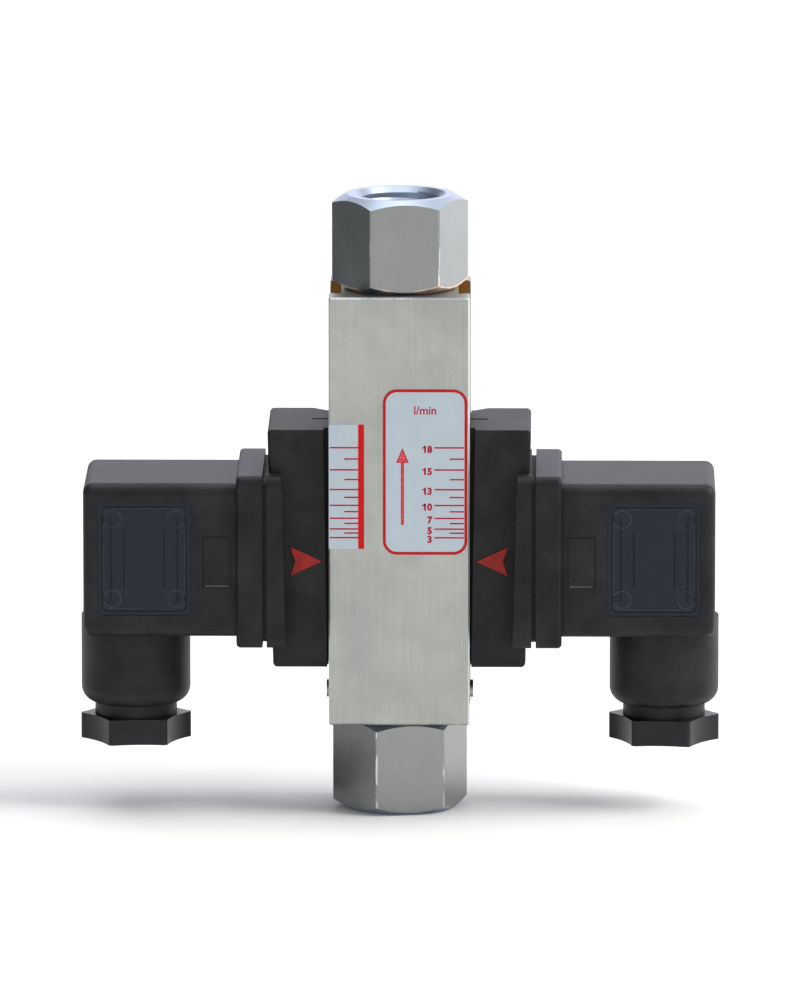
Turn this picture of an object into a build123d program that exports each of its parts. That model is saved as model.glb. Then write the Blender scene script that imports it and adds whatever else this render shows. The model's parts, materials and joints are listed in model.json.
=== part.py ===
from build123d import *
from math import cos, radians, sin, tan
import os

os.makedirs("parts", exist_ok=True)

# A float-type flow switch with two adjustable reed contacts. Sizes are in millimetres.
# The origin is the centre of the inlet face, the flow rises along +Z, the scale faces -Y,
# and the two switches ride in the grooves of the +X and -X sides, as mirror images.

# Bar: square section with a metering bore and a dovetail groove down each side
bar_width = 26.0
bar_length = 80.0
bar_edge = 0.3
groove_mouth = 14.0
groove_floor = 16.0
groove_depth = 2.2
socket_diameter = 18.0
socket_depth = 12.0
socket_lead = 0.4
meter_bore_low = 14.5
meter_bore_high = 16.5

# End fittings: hexagons with a female pipe thread and a spigot that screws into the bar
hex_flats = 22.0
hex_length = 17.5
hex_edge = 0.2
hex_chamfer_circle = 19.8
hex_chamfer_angle = 30.0
inlet_turn = 10.6
outlet_turn = 5.4
port_diameter = 14.95
port_depth = 12.0
port_mouth = 17.0
flow_bore = 12.0
spigot_lead = 0.6
thread_play = 0.05
seal_groove_diameter = 15.0
seal_groove_width = 2.1
seal_play = 0.02

# Seat ring and float
seat_thickness = 2.5
seat_bore = 11.0
seat_cone_height = 1.5
seating_gap = 0.1
float_diameter = 14.2
float_cylinder = 27.3
float_nose = 6.0
float_travel = 24.0
float_ring_width = 1.2
float_ring_depth = 0.4
float_ring_pitch = 4.0
float_ring_count = 3
magnet_diameter = 9.0
magnet_length = 12.0
magnet_play = 0.05
float_plug_length = 4.0
plug_slot_width = 1.0
plug_slot_depth = 1.2

# Stop above the float: a ring with three spokes and a hub
stop_thickness = 2.5
stop_rim = 1.4
stop_hub_diameter = 4.4
stop_spoke_width = 1.8
stop_gap = 0.2

# Printed scales on the front of the bar
film_thickness = 0.1
label_width = 15.57
label_height = 30.93
label_margin = 0.43
label_rise = 47.53
label_corner = 2.6
strip_width = 6.5
strip_height = 23.24
strip_margin = 0.04
strip_rise = 44.78

# Stop pins that end each groove below the switches
pin_diameter = 3.3
pin_proud = 0.6
pin_rise = 4.5
pin_shank = 2.0
pin_shank_length = 1.2
pin_play = 0.02

# Switch housing, given for the +X side
housing_rise = 10.8
housing_height = 44.4
housing_depth = 24.0
housing_top_thickness = 10.3
housing_bottom_thickness = 9.3
housing_corner = 0.8
housing_back_bevel = 2.2
collar_height = 1.0
collar_height_low = 0.3
collar_depth = 19.0
foot_play = 0.12
slit_width = 1.0
slit_depth = 3.3
slit_length = 11.0
boss_lip = 0.05
boss_reach = 10.4
boss_top_thickness = 2.6
boss_bottom_thickness = 3.5
boss_corner = 2.0
plug_rise = 20.15

# Clamp screw: a set screw through the split part of the housing
clamp_diameter = 3.0
clamp_length = 12.0
clamp_below_top = 3.9
clamp_socket_flats = 1.5
clamp_socket_depth = 1.6
clamp_play = 0.03

# Pointer let into the housing front
pointer_length = 5.8
pointer_height = 5.4
pointer_notch = 0.9
pointer_thickness = 0.6
pointer_proud = 0.2
pointer_margin = 0.25
pointer_rise = 19.8

# Reed contact and its resin
reed_bore_diameter = 5.2
reed_offset = 3.5
reed_chamber_margin = 1.2
glass_diameter = 2.2
glass_length = 14.0
glass_end_bevel = 0.6
lead_diameter = 0.6
wiring_margin = 0.8
wiring_pocket_depth = 2.5

# Contact base, blades and insert of the plug connection
base_rim = 3.75
base_thickness = 2.9
base_play = 0.05
blade_radius = 9.0
blade_width = 6.3
blade_thickness = 0.8
blade_tail = 1.4
blade_reach = 11.0
insert_diameter = 5.0
insert_length = 4.4
gasket_margin = 1.0
gasket_thickness = 0.8

# Plug housing
flange_size = 32.2
flange_thickness = 4.8
flange_corner = 1.6
flange_round = 0.8
flange_step = 1.75
plug_length = 33.9
plug_corner = 2.2
plug_round = 1.8
plug_wall = 1.5
plug_end_wall = 8.1
neck_setback = 9.3
neck_diameter = 20.2
neck_length = 14.45
neck_overlap = 1.9
neck_round = 3.0
cable_bore = 10.0
screw_well_diameter = 8.0
screw_well_depth = 3.2

# Moulded panel and window on the two broad faces of the plug
panel_setback = 11.3
panel_lift = 0.45
panel_width = 17.4
panel_height = 21.4
panel_corner = 1.2
panel_depth = 0.2
frame_inset = 0.8
line_width = 0.35
line_depth = 0.2
long_line_spacing = 12.3
long_line_length = 15.8
short_line_spacing = 7.5
short_line_length = 10.3
window_setback = 3.6
window_width = 5.4
window_height = 9.6

# Terminal insert and screws inside the plug
terminal_play = 0.1
terminal_thickness = 15.6
terminal_hub_diameter = 7.0
terminal_hub_gap = 0.3
terminal_screw_diameter = 2.5
terminal_screw_length = 4.0
terminal_head_diameter = 5.2
terminal_head_height = 1.6
slot_play = 0.05

# Central fixing screw
fixing_diameter = 2.9
fixing_head_diameter = 5.5
fixing_head_height = 2.0
fixing_slot_width = 0.9
fixing_slot_depth = 1.0
screw_play = 0.1
screw_seal_diameter = 7.2
screw_seal_thickness = 0.8

# Cable gland
gland_thread_diameter = 15.2
gland_thread_length = 4.5
gland_seal_diameter = 12.6
gland_seal_length = 4.9
gland_cable_hole = 8.0
gland_seal_play = 0.05
gland_ring_thickness = 1.2
gland_ring_gap = 0.1
gland_nut_lobes = 6
gland_nut_corners = 21.2
gland_nut_flank = 16.7
gland_nut_height = 4.7
gland_nut_floor = 1.2
gland_nut_hole = 9.2
gland_nut_corner_round = 0.9
gland_nut_turn = -4.0

# Places that follow from the sizes
bar_side = bar_width / 2
bar_bottom = hex_length
bar_top = bar_bottom + bar_length
overall_height = bar_top + hex_length
middle_plane = Plane.XY.offset(overall_height / 2)
seat_top = bar_bottom + socket_depth
stop_bottom = bar_top - socket_depth
spigot_length = socket_depth - seat_thickness - seating_gap
spigot_radius = socket_diameter / 2 - thread_play
float_radius = float_diameter / 2
float_shoulder = seat_top - seat_cone_height + float_radius - seat_bore / 2 + seating_gap
float_top = float_shoulder + float_cylinder
float_nose_z = float_shoulder - float_radius + float_nose / 2
magnet_top = float_top - float_plug_length
magnet_bottom = magnet_top - magnet_length
groove_floor_x = bar_side - groove_depth
pin_height = bar_bottom + pin_rise
label_centre = (bar_side - label_margin - label_width / 2, bar_bottom + label_rise)
strip_centre = (strip_margin + strip_width / 2 - bar_side, bar_bottom + strip_rise)
housing_inner = bar_side + collar_height
housing_bottom = bar_bottom + housing_rise
housing_top = housing_bottom + housing_height
housing_front = Plane.XZ.offset(housing_depth / 2)
pointer_tip_z = housing_bottom + pointer_rise
plug_height = housing_bottom + plug_rise
boss_size = flange_size + 2 * boss_lip
boss_face = housing_inner + boss_reach
clamp_z = housing_top - clamp_below_top
clamp_end = groove_floor_x + clamp_play
reed_x = housing_inner + reed_offset
reed_chamber_top = plug_height + blade_radius + reed_chamber_margin
wiring_pocket_size = 2 * (blade_radius + blade_thickness / 2 + wiring_margin)
base_size = boss_size - 2 * base_rim
gasket_size = flange_size - 2 * gasket_margin
base_inner = boss_face - base_thickness
pocket_inner = base_inner - wiring_pocket_depth
blade_inner = base_inner - blade_tail
blade_outer = boss_face + blade_reach
flange_inner = boss_face + gasket_thickness
plug_inner = flange_inner + flange_thickness
plug_size = flange_size - 2 * flange_step
plug_reach = boss_face + plug_length
plug_cavity = plug_size - 2 * plug_wall
cavity_end = plug_reach - plug_end_wall
panel_centre = plug_reach - panel_setback
panel_height_centre = plug_height + panel_lift
window_centre = plug_inner + window_setback
well_floor = plug_reach - screw_well_depth
head_seat = well_floor + screw_seal_thickness
terminal_inner = flange_inner + seating_gap
terminal_outer = terminal_inner + terminal_thickness
terminal_size = plug_cavity - 2 * terminal_play
terminal_hub_height = cavity_end - terminal_outer - terminal_hub_gap
neck_axis = plug_reach - neck_setback
plug_bottom = plug_height - plug_size / 2
neck_bottom = plug_bottom - neck_length
neck_top = plug_bottom + neck_overlap
gland_thread_end = neck_bottom - gland_thread_length
gland_ring_top = gland_thread_end + gland_ring_gap
gland_ring_bottom = gland_ring_top - gland_ring_thickness
gland_seal_bottom = gland_ring_top + gland_ring_gap
gland_nut_bottom = gland_ring_bottom - gland_ring_gap - gland_nut_floor
blade_places = (
    (0, plug_height + blade_radius),
    (0, plug_height - blade_radius),
    (blade_radius, plug_height),
)
blade_turns = (0, 0, 90)


def write(piece, name):
    """Label a finished piece and write it as one file."""
    piece.label = name
    export_step(piece, f"parts/{name}.step")


def write_pair(piece, name):
    """Write a piece of the +X switch and its mirror image for the -X switch."""
    write(piece, f"right_{name}")
    write(mirror(piece, about=Plane.YZ), f"left_{name}")


# Flow body: the bar, its grooves, the two sockets and the tapered metering bore
with BuildPart() as flow_body:
    with BuildSketch(Plane.XY.offset(bar_bottom)):
        Rectangle(bar_width, bar_width)
    extrude(amount=bar_length)
    chamfer(flow_body.edges(), bar_edge)
    with BuildSketch(Plane.XY.offset(bar_bottom)):
        for side in (-1, 1):
            with BuildLine():
                Polyline(
                    (side * bar_side, -groove_mouth / 2),
                    (side * groove_floor_x, -groove_floor / 2),
                    (side * groove_floor_x, groove_floor / 2),
                    (side * bar_side, groove_mouth / 2),
                    close=True,
                )
            make_face()
    extrude(amount=bar_length, mode=Mode.SUBTRACT)
    with BuildSketch(Plane.XZ):
        with BuildLine():
            Polyline(
                (0, bar_bottom),
                (socket_diameter / 2 + socket_lead, bar_bottom),
                (socket_diameter / 2, bar_bottom + socket_lead),
                (socket_diameter / 2, seat_top),
                (meter_bore_low / 2, seat_top),
                (meter_bore_high / 2, stop_bottom),
                (socket_diameter / 2, stop_bottom),
                (socket_diameter / 2, bar_top - socket_lead),
                (socket_diameter / 2 + socket_lead, bar_top),
                (0, bar_top),
                close=True,
            )
        make_face()
    revolve(axis=Axis.Z, mode=Mode.SUBTRACT)
    for side in (-1, 1):
        with BuildSketch(Plane.YZ.offset(side * groove_floor_x)):
            with Locations((0, pin_height)):
                Circle(pin_shank / 2 + pin_play)
        extrude(amount=-side * (pin_shank_length + pin_play), mode=Mode.SUBTRACT)
write(flow_body.part, "flow_body")


def end_fitting(turn):
    """Lower end fitting: chamfered hexagon, threaded port, sealing neck and spigot."""
    corner_radius = hex_flats / 2 / cos(radians(30))
    chamfer_drop = (corner_radius - hex_chamfer_circle / 2) * tan(radians(hex_chamfer_angle))
    port_lead = (port_mouth - port_diameter) / 2
    neck_radius = seal_groove_diameter / 2
    with BuildPart() as fitting:
        with BuildSketch():
            RegularPolygon(hex_flats / 2, 6, major_radius=False, rotation=turn)
        extrude(amount=hex_length)
        chamfer(fitting.edges().filter_by(Axis.Z), hex_edge)
        with BuildSketch(Plane.XZ):
            with BuildLine():
                Polyline(
                    (0, 0),
                    (hex_chamfer_circle / 2, 0),
                    (corner_radius, chamfer_drop),
                    (corner_radius, hex_length - chamfer_drop),
                    (hex_chamfer_circle / 2, hex_length),
                    (0, hex_length),
                    close=True,
                )
            make_face()
        revolve(axis=Axis.Z, mode=Mode.INTERSECT)
        with BuildSketch(Plane.XZ):
            with BuildLine():
                Polyline(
                    (0, hex_length),
                    (neck_radius, hex_length),
                    (neck_radius, hex_length + seal_groove_width),
                    (spigot_radius, hex_length + seal_groove_width),
                    (spigot_radius, hex_length + spigot_length - spigot_lead),
                    (spigot_radius - spigot_lead, hex_length + spigot_length),
                    (0, hex_length + spigot_length),
                    close=True,
                )
            make_face()
        revolve(axis=Axis.Z)
        with BuildSketch(Plane.XZ):
            with BuildLine():
                Polyline(
                    (0, 0),
                    (port_mouth / 2, 0),
                    (port_diameter / 2, port_lead),
                    (port_diameter / 2, port_depth),
                    (flow_bore / 2, port_depth),
                    (flow_bore / 2, hex_length + spigot_length),
                    (0, hex_length + spigot_length),
                    close=True,
                )
            make_face()
        revolve(axis=Axis.Z, mode=Mode.SUBTRACT)
    return fitting.part


write(end_fitting(inlet_turn), "inlet_fitting")
write(mirror(end_fitting(outlet_turn), about=middle_plane), "outlet_fitting")

# Sealing ring in the neck of each fitting, pressed to flats where it bears on the neck and the socket
with BuildPart() as o_ring:
    ring_section = (socket_diameter - seal_groove_diameter) / 4
    with BuildSketch(Plane.XZ):
        with Locations((seal_groove_diameter / 2 + ring_section, bar_bottom + seal_groove_width / 2)):
            RegularPolygon(ring_section - seal_play, 8, major_radius=False, rotation=22.5)
    revolve(axis=Axis.Z)
write(o_ring.part, "inlet_o_ring")
write(mirror(o_ring.part, about=middle_plane), "outlet_o_ring")

# Seat ring, held between the inlet spigot and the shoulder under the metering bore
with BuildPart() as seat_ring:
    with BuildSketch(Plane.XZ):
        with BuildLine():
            Polyline(
                (seat_bore / 2, seat_top - seat_thickness),
                (spigot_radius, seat_top - seat_thickness),
                (spigot_radius, seat_top),
                (seat_bore / 2 + seat_cone_height, seat_top),
                (seat_bore / 2, seat_top - seat_cone_height),
                close=True,
            )
        make_face()
    revolve(axis=Axis.Z)
write(seat_ring.part, "seat_ring")

# Float shell: conical nose, guide rings and a blind bore for the magnet
with BuildPart() as float_shell:
    with BuildSketch(Plane.XZ):
        with BuildLine():
            Polyline(
                (0, float_nose_z),
                (float_nose / 2, float_nose_z),
                (float_radius, float_shoulder),
                (float_radius, float_top),
                (magnet_diameter / 2 + magnet_play, float_top),
                (magnet_diameter / 2 + magnet_play, magnet_bottom),
                (0, magnet_bottom),
                close=True,
            )
        make_face()
        for ring in range(float_ring_count):
            ring_z = float_shoulder + (ring + 1) * float_ring_pitch
            with Locations((float_radius, ring_z)):
                Rectangle(2 * float_ring_depth, float_ring_width, mode=Mode.SUBTRACT)
    revolve(axis=Axis.Z)
write(float_shell.part, "float_shell")

with BuildPart() as float_magnet:
    with BuildSketch(Plane.XY.offset(magnet_bottom)):
        Circle(magnet_diameter / 2)
    extrude(amount=magnet_length)
write(float_magnet.part, "float_magnet")

# Slotted plug that closes the float
with BuildPart() as float_plug:
    with BuildSketch(Plane.XY.offset(magnet_top)):
        Circle(magnet_diameter / 2)
    extrude(amount=float_plug_length)
    with BuildSketch(Plane.XY.offset(float_top)):
        Rectangle(magnet_diameter, plug_slot_width)
    extrude(amount=-plug_slot_depth, mode=Mode.SUBTRACT)
write(float_plug.part, "float_plug")

# Float stop: its rim lies in the upper socket and its hub reaches down to the raised float
with BuildPart() as float_stop:
    hub_bottom = float_top + float_travel + stop_gap
    with BuildSketch(Plane.XY.offset(stop_bottom)):
        Circle(spigot_radius)
        Circle(spigot_radius - stop_rim, mode=Mode.SUBTRACT)
        with PolarLocations(spigot_radius / 2 - stop_rim / 2, 3):
            Rectangle(spigot_radius - stop_rim, stop_spoke_width)
    extrude(amount=stop_thickness)
    with BuildSketch(Plane.XY.offset(hub_bottom)):
        Circle(stop_hub_diameter / 2)
    extrude(amount=stop_bottom + stop_thickness - hub_bottom)
write(float_stop.part, "float_stop")

# Printed films: the scale on the right of the front face and the plain strip on its left
with BuildPart() as scale_label:
    with BuildSketch(Plane.XZ.offset(bar_side)):
        with Locations(label_centre):
            RectangleRounded(label_width, label_height, label_corner)
    extrude(amount=film_thickness)
write(scale_label.part, "scale_label")

with BuildPart() as strip_label:
    with BuildSketch(Plane.XZ.offset(bar_side)):
        with Locations(strip_centre):
            Rectangle(strip_width, strip_height)
    extrude(amount=film_thickness)
write(strip_label.part, "strip_label")

# Stop pins in the two grooves
with BuildPart() as stop_pins:
    for side in (-1, 1):
        with BuildSketch(Plane.YZ.offset(side * groove_floor_x)):
            with Locations((0, pin_height)):
                Circle(pin_diameter / 2)
        extrude(amount=side * (groove_depth + pin_proud))
        with BuildSketch(Plane.YZ.offset(side * groove_floor_x)):
            with Locations((0, pin_height)):
                Circle(pin_shank / 2)
        extrude(amount=-side * pin_shank_length)
write(stop_pins.part, "stop_pins")


def pointer_outline(margin):
    """Swallow-tailed triangle with its tip towards the scale, grown by a margin."""
    tip = housing_inner + pointer_margin
    tail = tip + pointer_length
    Polygon(
        (tip - margin, pointer_tip_z),
        (tail + margin, pointer_tip_z - pointer_height / 2 - margin),
        (tail - pointer_notch + margin, pointer_tip_z),
        (tail + margin, pointer_tip_z + pointer_height / 2 + margin),
        align=None,
    )


# Switch housing: tapered box, collar, split dovetail foot and the square boss of the plug
with BuildPart() as switch_housing:
    with BuildSketch(Plane.XZ):
        with BuildLine():
            Polyline(
                (bar_side + collar_height_low, housing_bottom),
                (housing_inner + housing_bottom_thickness, housing_bottom),
                (housing_inner + housing_top_thickness, housing_top),
                (housing_inner, housing_top),
                close=True,
            )
        make_face()
    extrude(amount=housing_depth / 2, both=True)
    outer_edges = switch_housing.faces().sort_by(Axis.X)[-1].edges()
    fillet(outer_edges, housing_corner)
    inner_face = switch_housing.faces().sort_by(Axis.X)[0]
    chamfer(inner_face.edges().sort_by(Axis.Y)[-1], housing_back_bevel)
    with BuildSketch(Plane.XZ):
        with BuildLine():
            Polyline(
                (boss_face - boss_bottom_thickness, plug_height - boss_size / 2),
                (boss_face, plug_height - boss_size / 2),
                (boss_face, plug_height + boss_size / 2),
                (boss_face - boss_top_thickness, plug_height + boss_size / 2),
                close=True,
            )
        make_face()
    extrude(amount=boss_size / 2, both=True)
    boss_corners = switch_housing.edges().filter_by(Axis.X).group_by(Axis.Y)
    fillet(boss_corners[0] + boss_corners[-1], boss_corner)
    with BuildSketch(Plane.XY.offset(housing_bottom)):
        with BuildLine():
            Polyline(
                (housing_inner, -collar_depth / 2),
                (bar_side + foot_play, -collar_depth / 2),
                (bar_side + foot_play, -groove_mouth / 2 + foot_play),
                (groove_floor_x + foot_play, -groove_floor / 2 + foot_play),
                (groove_floor_x + foot_play, groove_floor / 2 - foot_play),
                (bar_side + foot_play, groove_mouth / 2 - foot_play),
                (bar_side + foot_play, collar_depth / 2),
                (housing_inner, collar_depth / 2),
                close=True,
            )
        make_face()
    extrude(amount=housing_height)
    with BuildSketch(Plane.XZ):
        with BuildLine():
            Polyline(
                (groove_floor_x, housing_top - slit_length),
                (bar_side + slit_depth, housing_top - slit_length),
                (bar_side + slit_depth, housing_top),
                (groove_floor_x, housing_top),
                close=True,
            )
        make_face()
    extrude(amount=slit_width / 2, both=True, mode=Mode.SUBTRACT)
    with BuildSketch(Plane.YZ):
        with Locations((0, clamp_z)):
            Circle(clamp_diameter / 2 + clamp_play)
    extrude(amount=housing_inner + housing_top_thickness, mode=Mode.SUBTRACT)
    with BuildSketch(Plane.XY.offset(housing_bottom)):
        with Locations((reed_x, 0)):
            Circle(reed_bore_diameter / 2)
    extrude(amount=reed_chamber_top - housing_bottom, mode=Mode.SUBTRACT)
    with BuildSketch(Plane.YZ.offset(pocket_inner)):
        with Locations((0, plug_height)):
            Rectangle(wiring_pocket_size, wiring_pocket_size)
    extrude(amount=wiring_pocket_depth, mode=Mode.SUBTRACT)
    with BuildSketch(Plane.YZ.offset(base_inner)):
        with Locations((0, plug_height)):
            Rectangle(base_size, base_size)
    extrude(amount=base_thickness, mode=Mode.SUBTRACT)
    with BuildSketch(housing_front):
        pointer_outline(pointer_proud / 2)
    extrude(amount=pointer_proud - pointer_thickness, mode=Mode.SUBTRACT)
write_pair(switch_housing.part, "switch_housing")

with BuildPart() as pointer:
    with BuildSketch(housing_front.offset(pointer_proud)):
        pointer_outline(0)
    extrude(amount=-pointer_thickness)
write_pair(pointer.part, "pointer")

# Clamp screw with a hexagon socket
with BuildPart() as clamp_screw:
    with BuildSketch(Plane.YZ.offset(clamp_end)):
        with Locations((0, clamp_z)):
            Circle(clamp_diameter / 2)
    extrude(amount=clamp_length)
    with BuildSketch(Plane.YZ.offset(clamp_end + clamp_length)):
        with Locations((0, clamp_z)):
            RegularPolygon(clamp_socket_flats / 2, 6, major_radius=False)
    extrude(amount=-clamp_socket_depth, mode=Mode.SUBTRACT)
write_pair(clamp_screw.part, "clamp_screw")

# Reed switch: a sealed glass tube level with the pointer
with BuildPart() as reed_switch:
    with BuildSketch(Plane.XY.offset(pointer_tip_z - glass_length / 2)):
        with Locations((reed_x, 0)):
            Circle(glass_diameter / 2)
    extrude(amount=glass_length)
    chamfer(reed_switch.edges().filter_by(GeomType.CIRCLE), glass_end_bevel)
write_pair(reed_switch.part, "reed_switch")

# Leads from the ends of the glass to the tails of the two upright blades
with BuildPart() as reed_leads:
    for end in (-1, 1):
        glass_end = pointer_tip_z + end * glass_length / 2
        blade_z = plug_height + end * blade_radius
        with BuildSketch(Plane.XY.offset(glass_end)):
            with Locations((reed_x, 0)):
                Rectangle(lead_diameter, lead_diameter)
        extrude(amount=blade_z + end * lead_diameter / 2 - glass_end)
        with BuildSketch(Plane.YZ.offset(reed_x)):
            with Locations((0, blade_z)):
                Rectangle(lead_diameter, lead_diameter)
        extrude(amount=blade_inner - reed_x)
write_pair(reed_leads.part, "reed_leads")

# Contact blades: two upright pairs across the height and the earth blade behind
with BuildPart() as contact_blades:
    for place, turn in zip(blade_places, blade_turns):
        with BuildSketch(Plane.YZ.offset(blade_inner)):
            with Locations(place):
                Rectangle(blade_width, blade_thickness, rotation=turn)
        extrude(amount=blade_outer - blade_inner)
write_pair(contact_blades.part, "contact_blades")

# Threaded insert for the fixing screw
with BuildPart() as threaded_insert:
    with BuildSketch(Plane.YZ.offset(boss_face - insert_length)):
        with Locations((0, plug_height)):
            Circle(insert_diameter / 2)
            Circle(fixing_diameter / 2 + thread_play, mode=Mode.SUBTRACT)
    extrude(amount=insert_length)
write_pair(threaded_insert.part, "threaded_insert")

# Contact base: the moulded plate that holds the blades and the insert
with BuildPart() as contact_base:
    with BuildSketch(Plane.YZ.offset(base_inner)):
        with Locations((0, plug_height)):
            Rectangle(base_size - 2 * base_play, base_size - 2 * base_play)
            Circle(insert_diameter / 2, mode=Mode.SUBTRACT)
        for place, turn in zip(blade_places, blade_turns):
            with Locations(place):
                Rectangle(blade_width, blade_thickness, rotation=turn, mode=Mode.SUBTRACT)
    extrude(amount=base_thickness)
write_pair(contact_base.part, "contact_base")

# Casting resin round the reed switch, its leads and the tails of the blades
with BuildPart() as potting:
    with BuildSketch(Plane.XY.offset(housing_bottom)):
        with Locations((reed_x, 0)):
            Circle(reed_bore_diameter / 2)
    extrude(amount=reed_chamber_top - housing_bottom)
    with BuildSketch(Plane.YZ.offset(pocket_inner)):
        with Locations((0, plug_height)):
            Rectangle(wiring_pocket_size, wiring_pocket_size)
    extrude(amount=wiring_pocket_depth)
    add(reed_switch.part, mode=Mode.SUBTRACT)
    add(reed_leads.part, mode=Mode.SUBTRACT)
    add(contact_blades.part, mode=Mode.SUBTRACT)
    with BuildSketch(Plane.YZ.offset(pocket_inner)):
        with Locations((0, plug_height)):
            Circle(insert_diameter / 2)
    extrude(amount=wiring_pocket_depth, mode=Mode.SUBTRACT)
write_pair(potting.part, "potting")

# Flat gasket between the boss and the plug
with BuildPart() as profile_gasket:
    with BuildSketch(Plane.YZ.offset(boss_face)):
        with Locations((0, plug_height)):
            RectangleRounded(gasket_size, gasket_size, flange_corner)
            Circle(fixing_diameter / 2 + screw_play, mode=Mode.SUBTRACT)
        for place, turn in zip(blade_places, blade_turns):
            with Locations(place):
                Rectangle(
                    blade_width + 2 * slot_play,
                    blade_thickness + 2 * slot_play,
                    rotation=turn,
                    mode=Mode.SUBTRACT,
                )
    extrude(amount=gasket_thickness)
write_pair(profile_gasket.part, "profile_gasket")


def panel_lines():
    """Grooves of the moulded panel: a rounded frame, two long lines and two short ones."""
    frame_width = panel_width - 2 * frame_inset
    frame_height = panel_height - 2 * frame_inset
    with Locations((panel_centre, panel_height_centre)):
        RectangleRounded(frame_width, frame_height, panel_corner)
        RectangleRounded(
            frame_width - 2 * line_width,
            frame_height - 2 * line_width,
            panel_corner - line_width,
            mode=Mode.SUBTRACT,
        )
        with GridLocations(long_line_spacing, 0, 2, 1):
            Rectangle(line_width, long_line_length)
        with GridLocations(short_line_spacing, 0, 2, 1):
            Rectangle(line_width, short_line_length)


def window_frame():
    """Narrow rectangular groove beside the panel."""
    with Locations((window_centre, plug_height)):
        Rectangle(window_width, window_height)
        Rectangle(window_width - 2 * line_width, window_height - 2 * line_width, mode=Mode.SUBTRACT)


# Plug housing: flanged box with a downward neck, hollow for the terminals and the cable
with BuildPart() as plug_housing:
    with BuildSketch(Plane.YZ.offset(plug_inner - plug_corner)):
        with Locations((0, plug_height)):
            RectangleRounded(plug_size, plug_size, plug_corner)
    extrude(amount=plug_reach - plug_inner + plug_corner)
    fillet(plug_housing.faces().sort_by(Axis.X)[-1].edges(), plug_round)
    with BuildSketch(Plane.XY.offset(neck_bottom)):
        with Locations((neck_axis, 0)):
            Circle(neck_diameter / 2)
    extrude(amount=neck_top - neck_bottom)
    fillet(plug_housing.faces().sort_by(Axis.Z)[0].edges(), neck_round)
    with BuildSketch(Plane.XY.offset(gland_thread_end)):
        with Locations((neck_axis, 0)):
            Circle(gland_thread_diameter / 2)
    extrude(amount=neck_bottom + neck_round - gland_thread_end)
    with BuildSketch(Plane.YZ.offset(flange_inner)):
        with Locations((0, plug_height)):
            RectangleRounded(flange_size, flange_size, flange_corner)
    extrude(amount=flange_thickness)
    flange_edges = plug_housing.faces().filter_by(Axis.X).sort_by(Axis.X)
    fillet(flange_edges.group_by(Axis.X)[1].edges().group_by(SortBy.LENGTH)[-1], flange_round)
    with BuildSketch(Plane.YZ.offset(flange_inner)):
        with Locations((0, plug_height)):
            Rectangle(plug_cavity, plug_cavity)
    extrude(amount=cavity_end - flange_inner, mode=Mode.SUBTRACT)
    with BuildSketch(Plane.XY.offset(gland_thread_end)):
        with Locations((neck_axis, 0)):
            Circle(gland_seal_diameter / 2 + gland_seal_play)
    extrude(amount=gland_seal_bottom + gland_seal_length - gland_thread_end, mode=Mode.SUBTRACT)
    with BuildSketch(Plane.XY.offset(gland_thread_end)):
        with Locations((neck_axis, 0)):
            Circle(cable_bore / 2)
    extrude(amount=plug_height - gland_thread_end, mode=Mode.SUBTRACT)
    with BuildSketch(Plane.YZ.offset(plug_reach)):
        with Locations((0, plug_height)):
            Circle(screw_well_diameter / 2)
    extrude(amount=-screw_well_depth, mode=Mode.SUBTRACT)
    with BuildSketch(Plane.YZ.offset(plug_reach)):
        with Locations((0, plug_height)):
            Circle(fixing_diameter / 2 + screw_play)
    extrude(amount=cavity_end - plug_reach, mode=Mode.SUBTRACT)
    for side in (-1, 1):
        with BuildSketch(Plane.XZ.offset(side * plug_size / 2)):
            with Locations((panel_centre, panel_height_centre)):
                RectangleRounded(panel_width, panel_height, panel_corner)
        extrude(amount=-side * panel_depth, mode=Mode.SUBTRACT)
        with BuildSketch(Plane.XZ.offset(side * (plug_size / 2 - panel_depth))):
            panel_lines()
        extrude(amount=-side * line_depth, mode=Mode.SUBTRACT)
        with BuildSketch(Plane.XZ.offset(side * plug_size / 2)):
            window_frame()
        extrude(amount=-side * line_depth, mode=Mode.SUBTRACT)
write_pair(plug_housing.part, "plug_housing")

# Terminal insert: slotted block with a hub round the fixing screw
with BuildPart() as terminal_insert:
    with BuildSketch(Plane.YZ.offset(terminal_inner)):
        with Locations((0, plug_height)):
            Rectangle(terminal_size, terminal_size)
    extrude(amount=terminal_thickness)
    with BuildSketch(Plane.YZ.offset(terminal_outer)):
        with Locations((0, plug_height)):
            Circle(terminal_hub_diameter / 2)
    extrude(amount=terminal_hub_height)
    with BuildSketch(Plane.YZ.offset(terminal_inner)):
        with Locations((0, plug_height)):
            Circle(fixing_diameter / 2 + screw_play)
    extrude(amount=terminal_thickness + terminal_hub_height, mode=Mode.SUBTRACT)
    for place, turn in zip(blade_places, blade_turns):
        with BuildSketch(Plane.YZ.offset(terminal_inner)):
            with Locations(place):
                Rectangle(
                    blade_width + 2 * slot_play,
                    blade_thickness + 2 * slot_play,
                    rotation=turn,
                )
        extrude(amount=blade_outer + slot_play - terminal_inner, mode=Mode.SUBTRACT)
        with BuildSketch(Plane.YZ.offset(terminal_outer)):
            with Locations(place):
                Circle(terminal_screw_diameter / 2)
        extrude(amount=-terminal_screw_length, mode=Mode.SUBTRACT)
write_pair(terminal_insert.part, "terminal_insert")

# Terminal screws with slotted heads
with BuildPart() as terminal_screws:
    for place in blade_places:
        with BuildSketch(Plane.YZ.offset(terminal_outer - terminal_screw_length)):
            with Locations(place):
                Circle(terminal_screw_diameter / 2)
        extrude(amount=terminal_screw_length)
        with BuildSketch(Plane.YZ.offset(terminal_outer)):
            with Locations(place):
                Circle(terminal_head_diameter / 2)
        extrude(amount=terminal_head_height)
write_pair(terminal_screws.part, "terminal_screws")

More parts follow.
